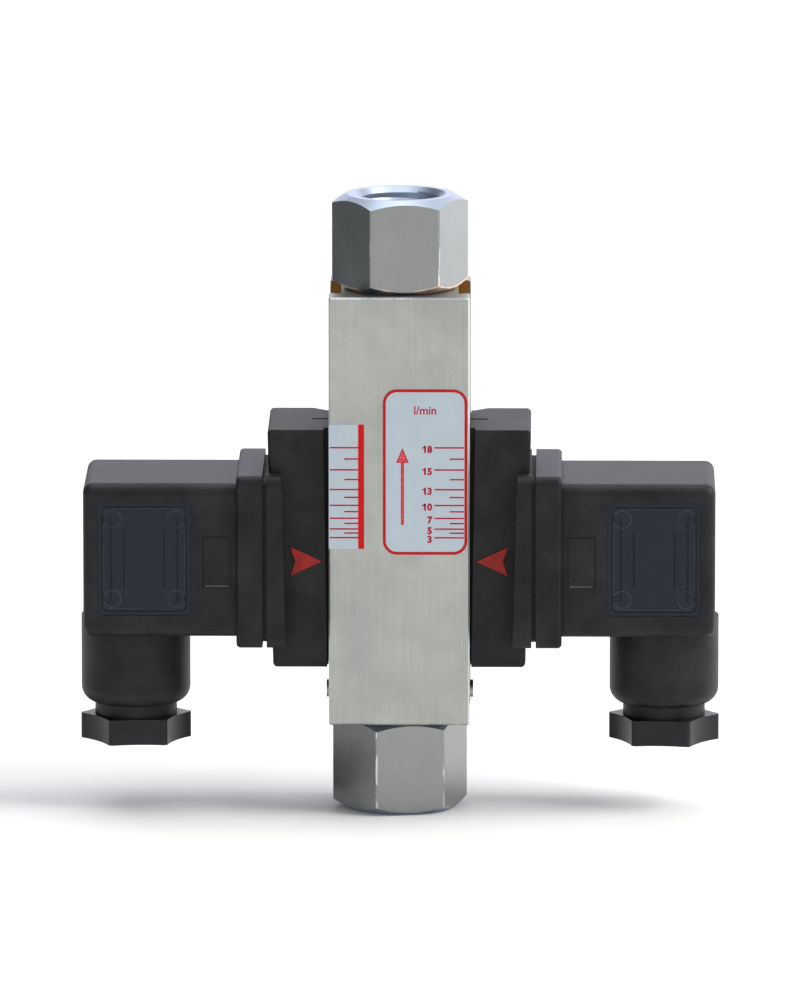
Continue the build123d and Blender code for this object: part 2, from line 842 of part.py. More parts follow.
# Fixing screw: slotted cheese head in the well and a shank down to the threaded insert
with BuildPart() as fixing_screw:
    with BuildSketch(Plane.YZ.offset(boss_face - insert_length)):
        with Locations((0, plug_height)):
            Circle(fixing_diameter / 2)
    extrude(amount=head_seat - boss_face + insert_length)
    with BuildSketch(Plane.YZ.offset(head_seat)):
        with Locations((0, plug_height)):
            Circle(fixing_head_diameter / 2)
    extrude(amount=fixing_head_height)
    with BuildSketch(Plane.YZ.offset(head_seat + fixing_head_height)):
        with Locations((0, plug_height)):
            Rectangle(fixing_head_diameter, fixing_slot_width)
    extrude(amount=-fixing_slot_depth, mode=Mode.SUBTRACT)
write_pair(fixing_screw.part, "fixing_screw")

# Seal under the head of the fixing screw
with BuildPart() as screw_seal:
    with BuildSketch(Plane.YZ.offset(well_floor)):
        with Locations((0, plug_height)):
            Circle(screw_seal_diameter / 2)
            Circle(fixing_diameter / 2 + screw_play, mode=Mode.SUBTRACT)
    extrude(amount=screw_seal_thickness)
write_pair(screw_seal.part, "screw_seal")

# Rubber bush that grips the cable
with BuildPart() as gland_seal:
    with BuildSketch(Plane.XY.offset(gland_seal_bottom)):
        with Locations((neck_axis, 0)):
            Circle(gland_seal_diameter / 2)
            Circle(gland_cable_hole / 2, mode=Mode.SUBTRACT)
    extrude(amount=gland_seal_length)
write_pair(gland_seal.part, "gland_seal")

# Slip ring between the gland nut and the bush
with BuildPart() as gland_ring:
    with BuildSketch(Plane.XY.offset(gland_ring_bottom)):
        with Locations((neck_axis, 0)):
            Circle(gland_seal_diameter / 2)
            Circle(gland_cable_hole / 2, mode=Mode.SUBTRACT)
    extrude(amount=gland_ring_thickness)
write_pair(gland_ring.part, "gland_ring")

# Gland nut: six rounded corners with hollow flanks, bored for the thread, with a floor round the cable
with BuildPart() as gland_nut:
    with BuildSketch(Plane.XY.offset(gland_nut_bottom)) as nut_outline:
        with BuildLine():
            for lobe in range(gland_nut_lobes):
                start, middle, end = (
                    radians(360 * (lobe + part) / gland_nut_lobes + gland_nut_turn) for part in (0, 0.5, 1)
                )
                ThreePointArc(
                    (neck_axis + gland_nut_corners / 2 * cos(start), gland_nut_corners / 2 * sin(start)),
                    (neck_axis + gland_nut_flank / 2 * cos(middle), gland_nut_flank / 2 * sin(middle)),
                    (neck_axis + gland_nut_corners / 2 * cos(end), gland_nut_corners / 2 * sin(end)),
                )
        make_face()
        fillet(nut_outline.vertices(), gland_nut_corner_round)
    extrude(amount=gland_nut_height)
    with BuildSketch(Plane.XY.offset(gland_nut_bottom)):
        with Locations((neck_axis, 0)):
            Circle(gland_nut_hole / 2)
    extrude(amount=gland_nut_height, mode=Mode.SUBTRACT)
    with BuildSketch(Plane.XY.offset(gland_nut_bottom + gland_nut_floor)):
        with Locations((neck_axis, 0)):
            Circle(gland_thread_diameter / 2 + thread_play)
    extrude(amount=gland_nut_height, mode=Mode.SUBTRACT)
write_pair(gland_nut.part, "gland_nut")
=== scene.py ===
import bpy
import json
import math
import numpy as np
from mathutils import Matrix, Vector


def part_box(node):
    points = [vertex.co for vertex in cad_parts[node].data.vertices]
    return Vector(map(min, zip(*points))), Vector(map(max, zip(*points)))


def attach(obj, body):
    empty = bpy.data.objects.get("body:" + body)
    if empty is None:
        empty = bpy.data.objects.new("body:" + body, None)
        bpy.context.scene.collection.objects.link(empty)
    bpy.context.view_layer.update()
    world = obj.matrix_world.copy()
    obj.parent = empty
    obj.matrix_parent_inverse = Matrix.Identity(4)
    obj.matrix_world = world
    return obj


# Looks of a flow switch: a nickel-plated bar with a printed scale, and two reed switches with cable plugs.
# Lengths in the dictionaries are millimetres, and are turned to metres where a mesh or a node takes them.
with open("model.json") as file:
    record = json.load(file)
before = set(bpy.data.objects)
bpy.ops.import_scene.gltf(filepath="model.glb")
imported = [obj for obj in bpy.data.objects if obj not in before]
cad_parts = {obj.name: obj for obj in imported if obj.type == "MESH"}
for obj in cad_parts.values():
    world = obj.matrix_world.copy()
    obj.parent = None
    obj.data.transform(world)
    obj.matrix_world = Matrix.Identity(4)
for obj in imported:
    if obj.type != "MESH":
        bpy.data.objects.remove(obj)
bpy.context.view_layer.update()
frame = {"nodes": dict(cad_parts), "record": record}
mm = 0.001


def linear(hexColour):
    # sRGB to linear: dark channels are divided by 12.92, and the others follow ((c + 0.055) / 1.055) to the
    # power 2.4
    channels = [int(hexColour[i:i + 2], 16) / 255 for i in (1, 3, 5)]
    return [c / 12.92 if c <= 0.04045 else ((c + 0.055) / 1.055) ** 2.4 for c in channels] + [1.0]


def perMetre(sizeMm):
    # scale of a texture whose marks are sizeMm wide, on coordinates in metres
    return 1000 / sizeMm


def addNode(tree, kind, settings=None, links=None):
    # settings are properties or socket values, links are the sockets that feed it
    node = tree.nodes.new(kind)
    for name, value in (settings or {}).items():
        if isinstance(name, str) and hasattr(node, name):
            setattr(node, name, value)
        else:
            node.inputs[name].default_value = value
    for name, source in (links or {}).items():
        tree.links.new(source, node.inputs[name])
    return node


def newMaterial(name):
    # an empty material, its node tree, and the place of each point in the object's own coordinates
    material = bpy.data.materials.new(name)
    material.use_nodes = True
    tree = material.node_tree
    tree.nodes.clear()
    place = addNode(tree, "ShaderNodeTexCoord").outputs["Object"]
    return material, tree, place


# Camera: a long lens, a little above the object and a touch to its right
cameraSetup = {
    "azimuth": 0.7, "elevation": 10.2, "distance": 2500, "aim": (0, 0, 57.46), "frameHeight": 185.2,
    "sensorWidth": 36, "clipStart": 50, "clipEnd": 60000,
}


def placeCamera():
    data = bpy.data.cameras.new("studioCamera")
    camera = bpy.data.objects.new("studioCamera", data)
    bpy.context.scene.collection.objects.link(camera)
    azimuth = math.radians(cameraSetup["azimuth"])
    elevation = math.radians(cameraSetup["elevation"])
    back = Vector((math.sin(azimuth) * math.cos(elevation), -math.cos(azimuth) * math.cos(elevation),
                   math.sin(elevation)))
    camera.location = Vector(cameraSetup["aim"]) * mm + back * cameraSetup["distance"] * mm
    camera.rotation_mode = "QUATERNION"
    camera.rotation_quaternion = (-back).to_track_quat("-Z", "Y")
    data.sensor_width = cameraSetup["sensorWidth"]
    data.lens = data.sensor_width * cameraSetup["distance"] / cameraSetup["frameHeight"]
    data.clip_start = cameraSetup["clipStart"] * mm
    data.clip_end = cameraSetup["clipEnd"] * mm
    bpy.context.scene.camera = camera


# Studio: soft boxes, a pale surround that is dimmer on the left, a pale floor, and two grey cards at the
# left, one standing and one lying, seen only in reflections, that put painted shade into what the metal
# mirrors there
boxSetup = (
    {"name": "keyBox", "place": (1600, -350, 1600), "size": (1400, 1400), "watts": 44, "colour": "#fffdf8"},
    {"name": "topBox", "place": (-200, 300, 2600), "size": (2000, 2000), "watts": 28, "colour": "#f6faff"},
    {"name": "bridgeBox", "place": (0, 2000, 2100), "size": (2600, 900), "watts": 9, "colour": "#eeebfa"},
    {"name": "backBox", "place": (200, 2300, 800), "size": (3200, 1300), "watts": 17, "colour": "#ebe8f8"},
    {"name": "rimBox", "place": (620, 480, 170), "size": (420, 300), "watts": 0.62, "colour": "#eef2ff"},
    {"name": "fillBox", "place": (-1400, -2200, 900), "size": (1200, 1200), "watts": 8, "colour": "#ffffff"},
)
studioSetup = {
    "surround": ((0.12, "#3c4045"), (0.62, "#ffffff")), "surroundStrength": 0.5,
    "floor": ((-4500, -4500, 0), (4500, -4500, 0), (4500, 4500, 0), (-4500, 4500, 0)),
    "cards": (
        {"name": "standingCard",
         "corners": ((-330, -160, 0), (-330, 620, 0), (-330, 620, 420), (-330, -160, 420))},
        {"name": "lyingCard", "corners": ((-86, -4, 0.4), (-26, -4, 0.4), (-26, 50, 0.4), (-86, 50, 0.4))},
    ),
    "paper": {"name": "seamlessPaper", "colour": "#f7f7f6", "mark": 300,
              "roughness": {"To Min": 0.85, "To Max": 0.95}},
    "mirrorShadeCard": {"name": "mirrorShadeCard", "colour": "#606365", "mark": 4,
                 "roughness": {"To Min": 0.8, "To Max": 0.95}},
}


def makeSurround():
    # the surround runs from dim at -X to bright at +X, by the X part of the direction
    world = bpy.data.worlds.new("paleSurround")
    world.use_nodes = True
    tree = world.node_tree
    tree.nodes.clear()
    direction = addNode(tree, "ShaderNodeTexCoord")
    parts = addNode(tree, "ShaderNodeSeparateXYZ", None, {0: direction.outputs["Generated"]})
    sideways = addNode(tree, "ShaderNodeMapRange", {"From Min": -1.0, "From Max": 1.0},
                       {"Value": parts.outputs[0]})
    ramp = addNode(tree, "ShaderNodeValToRGB", None, {0: sideways.outputs[0]})
    ramp.color_ramp.interpolation = "EASE"
    for stop, (position, colour) in zip(ramp.color_ramp.elements, studioSetup["surround"]):
        stop.position = position
        stop.color = linear(colour)
    background = addNode(tree, "ShaderNodeBackground", {"Strength": studioSetup["surroundStrength"]},
                         {"Color": ramp.outputs[0]})
    addNode(tree, "ShaderNodeOutputWorld", None, {"Surface": background.outputs[0]})
    bpy.context.scene.world = world
    bpy.context.scene.view_settings.view_transform = "Standard"


def hangBoxes():
    # every soft box faces the point that the camera aims at
    for box in boxSetup:
        data = bpy.data.lights.new(box["name"], "AREA")
        data.shape = "RECTANGLE"
        data.size = box["size"][0] * mm
        data.size_y = box["size"][1] * mm
        data.energy = box["watts"]
        data.color = linear(box["colour"])[:3]
        light = bpy.data.objects.new(box["name"], data)
        bpy.context.scene.collection.objects.link(light)
        light.location = Vector(box["place"]) * mm
        light.rotation_mode = "QUATERNION"
        aim = Vector(cameraSetup["aim"]) * mm - light.location
        light.rotation_quaternion = aim.to_track_quat("-Z", "Y")


def mattSheet(sheet):
    # pressed paper or card: matt, and a little uneven in its gloss, which keeps it from looking printed
    material, tree, place = newMaterial(sheet["name"])
    fibre = addNode(tree, "ShaderNodeTexNoise", {"Scale": perMetre(sheet["mark"])}, {"Vector": place})
    rough = addNode(tree, "ShaderNodeMapRange", sheet["roughness"], {"Value": fibre.outputs[0]})
    shader = addNode(tree, "ShaderNodeBsdfPrincipled", {"Base Color": linear(sheet["colour"])},
                     {"Roughness": rough.outputs[0]})
    addNode(tree, "ShaderNodeOutputMaterial", None, {"Surface": shader.outputs[0]})
    return material


def flatSheet(name, corners, material):
    # one flat side through four corners
    mesh = bpy.data.meshes.new(name)
    mesh.from_pydata((np.array(corners) * mm).tolist(), [], [(0, 1, 2, 3)])
    mesh.materials.append(material)
    sheet = bpy.data.objects.new(name, mesh)
    bpy.context.scene.collection.objects.link(sheet)
    return sheet


def laySheets():
    # the paper floor under the object, and the two cards at its left
    floor = flatSheet("studioFloor", studioSetup["floor"], mattSheet(studioSetup["paper"]))
    mirrorShadeCard = mattSheet(studioSetup["mirrorShadeCard"])
    for card in studioSetup["cards"]:
        flag = flatSheet(card["name"], card["corners"], mirrorShadeCard)
        # a card shows in what the metal mirrors, and nowhere else: painted shade in the reflections
        flag.visible_camera = False
        flag.visible_shadow = False
        flag.visible_diffuse = False


placeCamera()
makeSurround()
hangBoxes()
laySheets()
print("camera, lights and floor are in place")


# Materials of the solids, one for each slot of the record. Draw marks, tool marks, grit and grain are drawn
# coarser than they are, so that they show at the size of the picture.

def nickelBar():
    # satin nickel plate on a drawn brass bar: grey with a warm cast, faint cloudy patches, fine lengthwise
    # draw marks and a soft, broad gloss; the edges carry a painted highlight, partly rubbed wear, broken by
    # darker patches, the lengthwise ones a bright painted highlight line, and the grooves, milled after
    # plating, show dull brass
    setup = {
        "light": "#b9bab5", "dark": "#a3a6a3", "rubbedHighlight": "#bcbebb", "shade": "#979996",
        "lengthwiseHighlight": "#dde2e4", "brass": "#a98d66",
        "cloud": 9, "mark": 0.5, "grit": 0.3, "markStretch": 0.02, "markShare": 0.35, "gritShare": 0.30,
        "shades": {"From Min": 0.60, "From Max": 1.05}, "rubAndHighlight": {"From Min": 0.78, "From Max": 0.90},
        "roughness": {"To Min": 0.36, "To Max": 0.44}, "bump": {"Strength": 0.12, "Distance": 0.02 * mm},
        "edgeLimit": 0.85, "lengthwiseLimit": 0.3, "grooveX": (10.7, 12.97), "grooveY": 8.1,
    }
    material, tree, place = newMaterial("satinNickelPlate")
    stretched = addNode(tree, "ShaderNodeMapping", {"Scale": (1, 1, setup["markStretch"])},
                        {"Vector": place})
    cloud = addNode(tree, "ShaderNodeTexNoise", {"Scale": perMetre(setup["cloud"]), "Detail": 3.0},
                    {"Vector": place})
    marks = addNode(tree, "ShaderNodeTexNoise", {"Scale": perMetre(setup["mark"]), "Detail": 2.0},
                    {"Vector": stretched.outputs[0]})
    grit = addNode(tree, "ShaderNodeTexNoise", {"Scale": perMetre(setup["grit"]), "Detail": 1.0},
                   {"Vector": place})
    marked = addNode(tree, "ShaderNodeMath", {"operation": "MULTIPLY_ADD", 1: setup["markShare"]},
                     {0: marks.outputs[0], 2: cloud.outputs[0]})
    pattern = addNode(tree, "ShaderNodeMath", {"operation": "MULTIPLY_ADD", 1: setup["gritShare"]},
                      {0: grit.outputs[0], 2: marked.outputs[0]})
    factor = addNode(tree, "ShaderNodeMapRange", setup["shades"], {"Value": pattern.outputs[0]})
    plate = addNode(tree, "ShaderNodeMix",
                    {"data_type": "RGBA", 6: linear(setup["dark"]), 7: linear(setup["light"])},
                    {0: factor.outputs[0]})
    # bare brass is where |X| lies between the groove's floor and mouth and |Y| is less than half its width
    parts = addNode(tree, "ShaderNodeSeparateXYZ", None, {0: place})
    across = addNode(tree, "ShaderNodeMath", {"operation": "ABSOLUTE"}, {0: parts.outputs[0]})
    depth = addNode(tree, "ShaderNodeMath", {"operation": "ABSOLUTE"}, {0: parts.outputs[1]})
    floor, mouth = setup["grooveX"]
    inX = addNode(tree, "ShaderNodeMath",
                  {"operation": "COMPARE", 1: (floor + mouth) / 2 * mm, 2: (mouth - floor) / 2 * mm},
                  {0: across.outputs[0]})
    inY = addNode(tree, "ShaderNodeMath", {"operation": "LESS_THAN", 1: setup["grooveY"] * mm},
                  {0: depth.outputs[0]})
    bare = addNode(tree, "ShaderNodeMath", {"operation": "MULTIPLY"}, {0: inX.outputs[0], 1: inY.outputs[0]})
    # an edge is where no part of the normal comes near one; by the patches its colour goes from a darker
    # shade to a light, partly rubbed, painted highlight, so the highlight line is broken
    facing = addNode(tree, "ShaderNodeVectorMath", {"operation": "ABSOLUTE"},
                     {0: place.node.outputs["Normal"]})
    sides = addNode(tree, "ShaderNodeSeparateXYZ", None, {0: facing.outputs[0]})
    largest = addNode(tree, "ShaderNodeMath", {"operation": "MAXIMUM"},
                      {0: sides.outputs[0], 1: sides.outputs[1]})
    largest = addNode(tree, "ShaderNodeMath", {"operation": "MAXIMUM"},
                      {0: largest.outputs[0], 1: sides.outputs[2]})
    edge = addNode(tree, "ShaderNodeMath", {"operation": "LESS_THAN", 1: setup["edgeLimit"]},
                   {0: largest.outputs[0]})
    rubAndHighlight = addNode(tree, "ShaderNodeMapRange", setup["rubAndHighlight"], {"Value": pattern.outputs[0]})
    wearAndGlint = addNode(tree, "ShaderNodeMix",
                   {"data_type": "RGBA", 6: linear(setup["shade"]), 7: linear(setup["rubbedHighlight"])},
                   {0: rubAndHighlight.outputs[0]})
    # the lengthwise edges, where the normal has little Z in it, get a bright painted highlight line
    lengthwise = addNode(tree, "ShaderNodeMath", {"operation": "LESS_THAN", 1: setup["lengthwiseLimit"]},
                         {0: sides.outputs[2]})
    edgeWearAndHighlight = addNode(tree, "ShaderNodeMix", {"data_type": "RGBA", 7: linear(setup["lengthwiseHighlight"])},
                      {0: lengthwise.outputs[0], 6: wearAndGlint.outputs[2]})
    edged = addNode(tree, "ShaderNodeMix", {"data_type": "RGBA"},
                    {0: edge.outputs[0], 6: plate.outputs[2], 7: edgeWearAndHighlight.outputs[2]})
    colour = addNode(tree, "ShaderNodeMix", {"data_type": "RGBA", 7: linear(setup["brass"])},
                     {0: bare.outputs[0], 6: edged.outputs[2]})
    rough = addNode(tree, "ShaderNodeMapRange", setup["roughness"], {"Value": marked.outputs[0]})
    bump = addNode(tree, "ShaderNodeBump", setup["bump"], {"Height": pattern.outputs[0]})
    shader = addNode(tree, "ShaderNodeBsdfPrincipled", {"Metallic": 1.0},
                     {"Base Color": colour.outputs[2], "Roughness": rough.outputs[0],
                      "Normal": bump.outputs[0]})
    addNode(tree, "ShaderNodeOutputMaterial", None, {"Surface": shader.outputs[0]})
    return material


def nickelHexagon():
    # bright nickel plate on turned and milled brass: cool grey, clearer reflections than the bar, a painted
    # pale bluish reflection and fine rings where the lathe cut it, a painted highlight on its corners, partly
    # rubbed wear, and bare brass low on the upper hexagon, painted pale as a glint
    setup = {
        "light": "#959796", "dark": "#888b8a", "cut": "#aebac9", "rubbedHighlight": "#cdd0d0", "brass": "#ecd0b4",
        "cloud": 6, "mark": 0.7, "ring": 0.3, "markStretch": 0.12, "markShare": 0.3, "ringShare": 0.5,
        "turnedLimit": 0.2, "port": 8.7, "corner": 12.705, "fray": 0.2,
        "chamferSlope": 30, "brassLow": 97.5, "brassRadius": 9.9, "brassWidth": 0.34, "brassMargin": 0.5,
        "patches": {"From Min": 0.40, "From Max": 0.55}, "roughness": {"To Min": 0.24, "To Max": 0.31},
        "cutScatter": 0.12, "brassScatter": 0.25, "bump": {"Strength": 0.06, "Distance": 0.03 * mm},
    }
    material, tree, place = newMaterial("brightNickelPlate")
    parts = addNode(tree, "ShaderNodeSeparateXYZ", None, {0: place})
    facing = addNode(tree, "ShaderNodeSeparateXYZ", None, {0: place.node.outputs["Normal"]})
    upright = addNode(tree, "ShaderNodeMath", {"operation": "ABSOLUTE"}, {0: facing.outputs[2]})
    turned = addNode(tree, "ShaderNodeMath", {"operation": "GREATER_THAN", 1: setup["turnedLimit"]},
                     {0: upright.outputs[0]})
    flat = addNode(tree, "ShaderNodeCombineXYZ", None, {0: parts.outputs[0], 1: parts.outputs[1]})
    radius = addNode(tree, "ShaderNodeVectorMath", {"operation": "LENGTH"}, {0: flat.outputs[0]})
    # the rings are a sine of the radius, one wave for each turn of the tool
    phase = addNode(tree, "ShaderNodeMath",
                    {"operation": "MULTIPLY", 1: perMetre(setup["ring"]) * 2 * math.pi},
                    {0: radius.outputs["Value"]})
    rings = addNode(tree, "ShaderNodeMath", {"operation": "SINE"}, {0: phase.outputs[0]})
    ringHeight = addNode(tree, "ShaderNodeMath", {"operation": "MULTIPLY"},
                         {0: rings.outputs[0], 1: turned.outputs[0]})
    stretched = addNode(tree, "ShaderNodeMapping", {"Scale": (1, 1, setup["markStretch"])},
                        {"Vector": place})
    marks = addNode(tree, "ShaderNodeTexNoise", {"Scale": perMetre(setup["mark"]), "Detail": 2.0},
                    {"Vector": stretched.outputs[0]})
    cloud = addNode(tree, "ShaderNodeTexNoise", {"Scale": perMetre(setup["cloud"]), "Detail": 2.0},
                    {"Vector": place})
    factor = addNode(tree, "ShaderNodeMath", {"operation": "MULTIPLY_ADD", 1: setup["markShare"]},
                     {0: marks.outputs[0], 2: cloud.outputs[0]})
    colour = addNode(tree, "ShaderNodeMix",
                     {"data_type": "RGBA", 6: linear(setup["dark"]), 7: linear(setup["light"])},
                     {0: factor.outputs[0]})
    # the lathe's cuts are the ends, the chamfers and all within the port's radius
    inPort = addNode(tree, "ShaderNodeMath", {"operation": "LESS_THAN", 1: setup["port"] * mm},
                     {0: radius.outputs["Value"]})
    cut = addNode(tree, "ShaderNodeMath", {"operation": "MAXIMUM"},
                  {0: turned.outputs[0], 1: inPort.outputs[0]})
    # their pale bluish colour is a painted reflection of the light from above
    paintedReflectionTone = addNode(tree, "ShaderNodeMix", {"data_type": "RGBA", 7: linear(setup["cut"])},
                    {0: cut.outputs[0], 6: colour.outputs[2]})
    # the corners carry a painted highlight, partly rubbed wear, where the radius and a share of the marks
    # pass a limit, so their line is broken
    frayed = addNode(tree, "ShaderNodeMath", {"operation": "MULTIPLY_ADD", 1: setup["fray"] * mm},
                     {0: marks.outputs[0], 2: radius.outputs["Value"]})
    corner = addNode(tree, "ShaderNodeMath", {"operation": "GREATER_THAN", 1: setup["corner"] * mm},
                     {0: frayed.outputs[0]})
    edged = addNode(tree, "ShaderNodeMix", {"data_type": "RGBA", 7: linear(setup["rubbedHighlight"])},
                    {0: corner.outputs[0], 6: paintedReflectionTone.outputs[2]})
    # bare brass, painted pale as a glint, follows the lower chamfer's cone: the height above it is Z less the
    # slope times the radius.
    # The brass fades out over the upper half of its width, and comes and goes with the patches
    slope = math.tan(math.radians(setup["chamferSlope"]))
    foot = setup["brassLow"] - setup["brassRadius"] * slope
    lift = addNode(tree, "ShaderNodeMath", {"operation": "MULTIPLY_ADD", 1: -slope},
                   {0: radius.outputs["Value"], 2: parts.outputs[2]})
    rise = addNode(tree, "ShaderNodeMapRange",
                   {"From Min": (foot + setup["brassWidth"] / 2) * mm,
                    "From Max": (foot + setup["brassWidth"]) * mm, "To Min": 1.0, "To Max": 0.0},
                   {"Value": lift.outputs[0]})
    above = addNode(tree, "ShaderNodeMath",
                    {"operation": "GREATER_THAN", 1: (setup["brassLow"] - setup["brassMargin"]) * mm},
                    {0: parts.outputs[2]})
    patch = addNode(tree, "ShaderNodeMapRange", setup["patches"], {"Value": cloud.outputs[0]})
    wearAndGlint = addNode(tree, "ShaderNodeMath", {"operation": "MULTIPLY"},
                   {0: rise.outputs[0], 1: above.outputs[0]})
    bare = addNode(tree, "ShaderNodeMath", {"operation": "MULTIPLY"},
                   {0: wearAndGlint.outputs[0], 1: patch.outputs[0]})
    brassAndGlint = addNode(tree, "ShaderNodeMix", {"data_type": "RGBA", 7: linear(setup["brass"])},
                     {0: bare.outputs[0], 6: edged.outputs[2]})
    # the cut surfaces and the bare brass scatter more than the plate
    plate = addNode(tree, "ShaderNodeMapRange", setup["roughness"], {"Value": cloud.outputs[0]})
    scatter = addNode(tree, "ShaderNodeMath", {"operation": "MULTIPLY_ADD", 1: setup["cutScatter"]},
                      {0: cut.outputs[0], 2: plate.outputs[0]})
    rough = addNode(tree, "ShaderNodeMath", {"operation": "MULTIPLY_ADD", 1: setup["brassScatter"]},
                    {0: bare.outputs[0], 2: scatter.outputs[0]})
    height = addNode(tree, "ShaderNodeMath", {"operation": "MULTIPLY_ADD", 1: setup["ringShare"]},
                     {0: ringHeight.outputs[0], 2: marks.outputs[0]})
    bump = addNode(tree, "ShaderNodeBump", setup["bump"], {"Height": height.outputs[0]})
    shader = addNode(tree, "ShaderNodeBsdfPrincipled", {"Metallic": 1.0},
                     {"Base Color": brassAndGlint.outputs[2], "Roughness": rough.outputs[0],
                      "Normal": bump.outputs[0]})
    addNode(tree, "ShaderNodeOutputMaterial", None, {"Surface": shader.outputs[0]})
    return material


def turnedMetal(finish):
    # small turned parts: a metal tone in two close shades, fine marks round Z and a soft gloss
    setup = {
        "markStretch": 0.1, "cloud": 2.5, "shades": {"From Min": 0.35, "From Max": 0.65},
        "bump": {"Strength": 0.2, "Distance": 0.02 * mm},
    }
    material, tree, place = newMaterial(finish["name"])
    stretched = addNode(tree, "ShaderNodeMapping", {"Scale": (setup["markStretch"], setup["markStretch"], 1)},
                        {"Vector": place})
    marks = addNode(tree, "ShaderNodeTexNoise", {"Scale": perMetre(finish["mark"]), "Detail": 2.0},
                    {"Vector": stretched.outputs[0]})
    cloud = addNode(tree, "ShaderNodeTexNoise", {"Scale": perMetre(setup["cloud"]), "Detail": 3.0},
                    {"Vector": place})
    factor = addNode(tree, "ShaderNodeMapRange", setup["shades"], {"Value": cloud.outputs[0]})
    colour = addNode(tree, "ShaderNodeMix",
                     {"data_type": "RGBA", 6: linear(finish["dark"]), 7: linear(finish["light"])},
                     {0: factor.outputs[0]})
    rough = addNode(tree, "ShaderNodeMapRange", finish["roughness"], {"Value": marks.outputs[0]})
    bump = addNode(tree, "ShaderNodeBump", setup["bump"], {"Height": marks.outputs[0]})
    shader = addNode(tree, "ShaderNodeBsdfPrincipled", {"Metallic": 1.0},
                     {"Base Color": colour.outputs[2], "Roughness": rough.outputs[0],
                      "Normal": bump.outputs[0]})
    addNode(tree, "ShaderNodeOutputMaterial", None, {"Surface": shader.outputs[0]})
    return material


def mouldedPolyamide(finish):
    # glass-filled polyamide from a spark-eroded mould: near black, a fine even grain that sparkles a little
    # where light grazes it, and on the plugs a bluer panel
    setup = {
        "grain": 0.35, "grainRoughness": 0.6, "cloud": 6, "grainShare": 0.6, "ior": 1.53, "specular": 0.25,
        "shades": {"From Min": 0.62, "From Max": 0.98}, "bump": {"Strength": 0.35, "Distance": 0.04 * mm},
    }
    material, tree, place = newMaterial(finish["name"])
    grain = addNode(tree, "ShaderNodeTexNoise",
                    {"Scale": perMetre(setup["grain"]), "Detail": 2.0, "Roughness": setup["grainRoughness"]},
                    {"Vector": place})
    cloud = addNode(tree, "ShaderNodeTexNoise", {"Scale": perMetre(setup["cloud"]), "Detail": 3.0},
                    {"Vector": place})
    mixed = addNode(tree, "ShaderNodeMath", {"operation": "MULTIPLY_ADD", 1: setup["grainShare"]},
                    {0: grain.outputs[0], 2: cloud.outputs[0]})
    factor = addNode(tree, "ShaderNodeMapRange", setup["shades"], {"Value": mixed.outputs[0]})
    colour = addNode(tree, "ShaderNodeMix",
                     {"data_type": "RGBA", 6: linear(finish["dark"]), 7: linear(finish["light"])},
                     {0: factor.outputs[0]})
    rough = addNode(tree, "ShaderNodeMapRange", finish["roughness"], {"Value": grain.outputs[0]})
    bump = addNode(tree, "ShaderNodeBump", setup["bump"], {"Height": grain.outputs[0]})
    panel = finish.get("panel")
    if panel:
        # the panel is where |X|, |Z| and |Y| all lie near its centre: within half its width, half its height
        # and its depth
        parts = addNode(tree, "ShaderNodeSeparateXYZ", None, {0: place})
        inside = None
        for axis, centre, half in ((0, panel["x"], panel["width"] / 2), (2, panel["z"], panel["height"] / 2),
                                   (1, panel["y"], panel["depth"])):
            part = addNode(tree, "ShaderNodeMath", {"operation": "ABSOLUTE"}, {0: parts.outputs[axis]})
            near = addNode(tree, "ShaderNodeMath", {"operation": "COMPARE", 1: centre * mm, 2: half * mm},
                           {0: part.outputs[0]})
            inside = near if inside is None else addNode(
                tree, "ShaderNodeMath", {"operation": "MULTIPLY"}, {0: inside.outputs[0], 1: near.outputs[0]})
        colour = addNode(tree, "ShaderNodeMix", {"data_type": "RGBA", 7: linear(panel["colour"])},
                         {0: inside.outputs[0], 6: colour.outputs[2]})
    shader = addNode(tree, "ShaderNodeBsdfPrincipled",
                     {"IOR": setup["ior"], "Specular IOR Level": setup["specular"]},
                     {"Base Color": colour.outputs[2], "Roughness": rough.outputs[0],
                      "Normal": bump.outputs[0]})
    addNode(tree, "ShaderNodeOutputMaterial", None, {"Surface": shader.outputs[0]})
    return material


def sealRubber():
    # nitrile rubber, moulded: dull black with a faint bloom
    setup = {
        "light": "#262524", "dark": "#121212", "bloom": 1.2, "ior": 1.52,
        "roughness": {"To Min": 0.6, "To Max": 0.8}, "bump": {"Strength": 0.2, "Distance": 0.03 * mm},
    }
    material, tree, place = newMaterial("nitrileRubber")
    bloom = addNode(tree, "ShaderNodeTexNoise", {"Scale": perMetre(setup["bloom"]), "Detail": 4.0},
                    {"Vector": place})
    colour = addNode(tree, "ShaderNodeMix",
                     {"data_type": "RGBA", 6: linear(setup["dark"]), 7: linear(setup["light"])},
                     {0: bloom.outputs[0]})
    rough = addNode(tree, "ShaderNodeMapRange", setup["roughness"], {"Value": bloom.outputs[0]})
    bump = addNode(tree, "ShaderNodeBump", setup["bump"], {"Height": bloom.outputs[0]})
    shader = addNode(tree, "ShaderNodeBsdfPrincipled", {"IOR": setup["ior"]},
                     {"Base Color": colour.outputs[2], "Roughness": rough.outputs[0],
                      "Normal": bump.outputs[0]})
    addNode(tree, "ShaderNodeOutputMaterial", None, {"Surface": shader.outputs[0]})
    return material


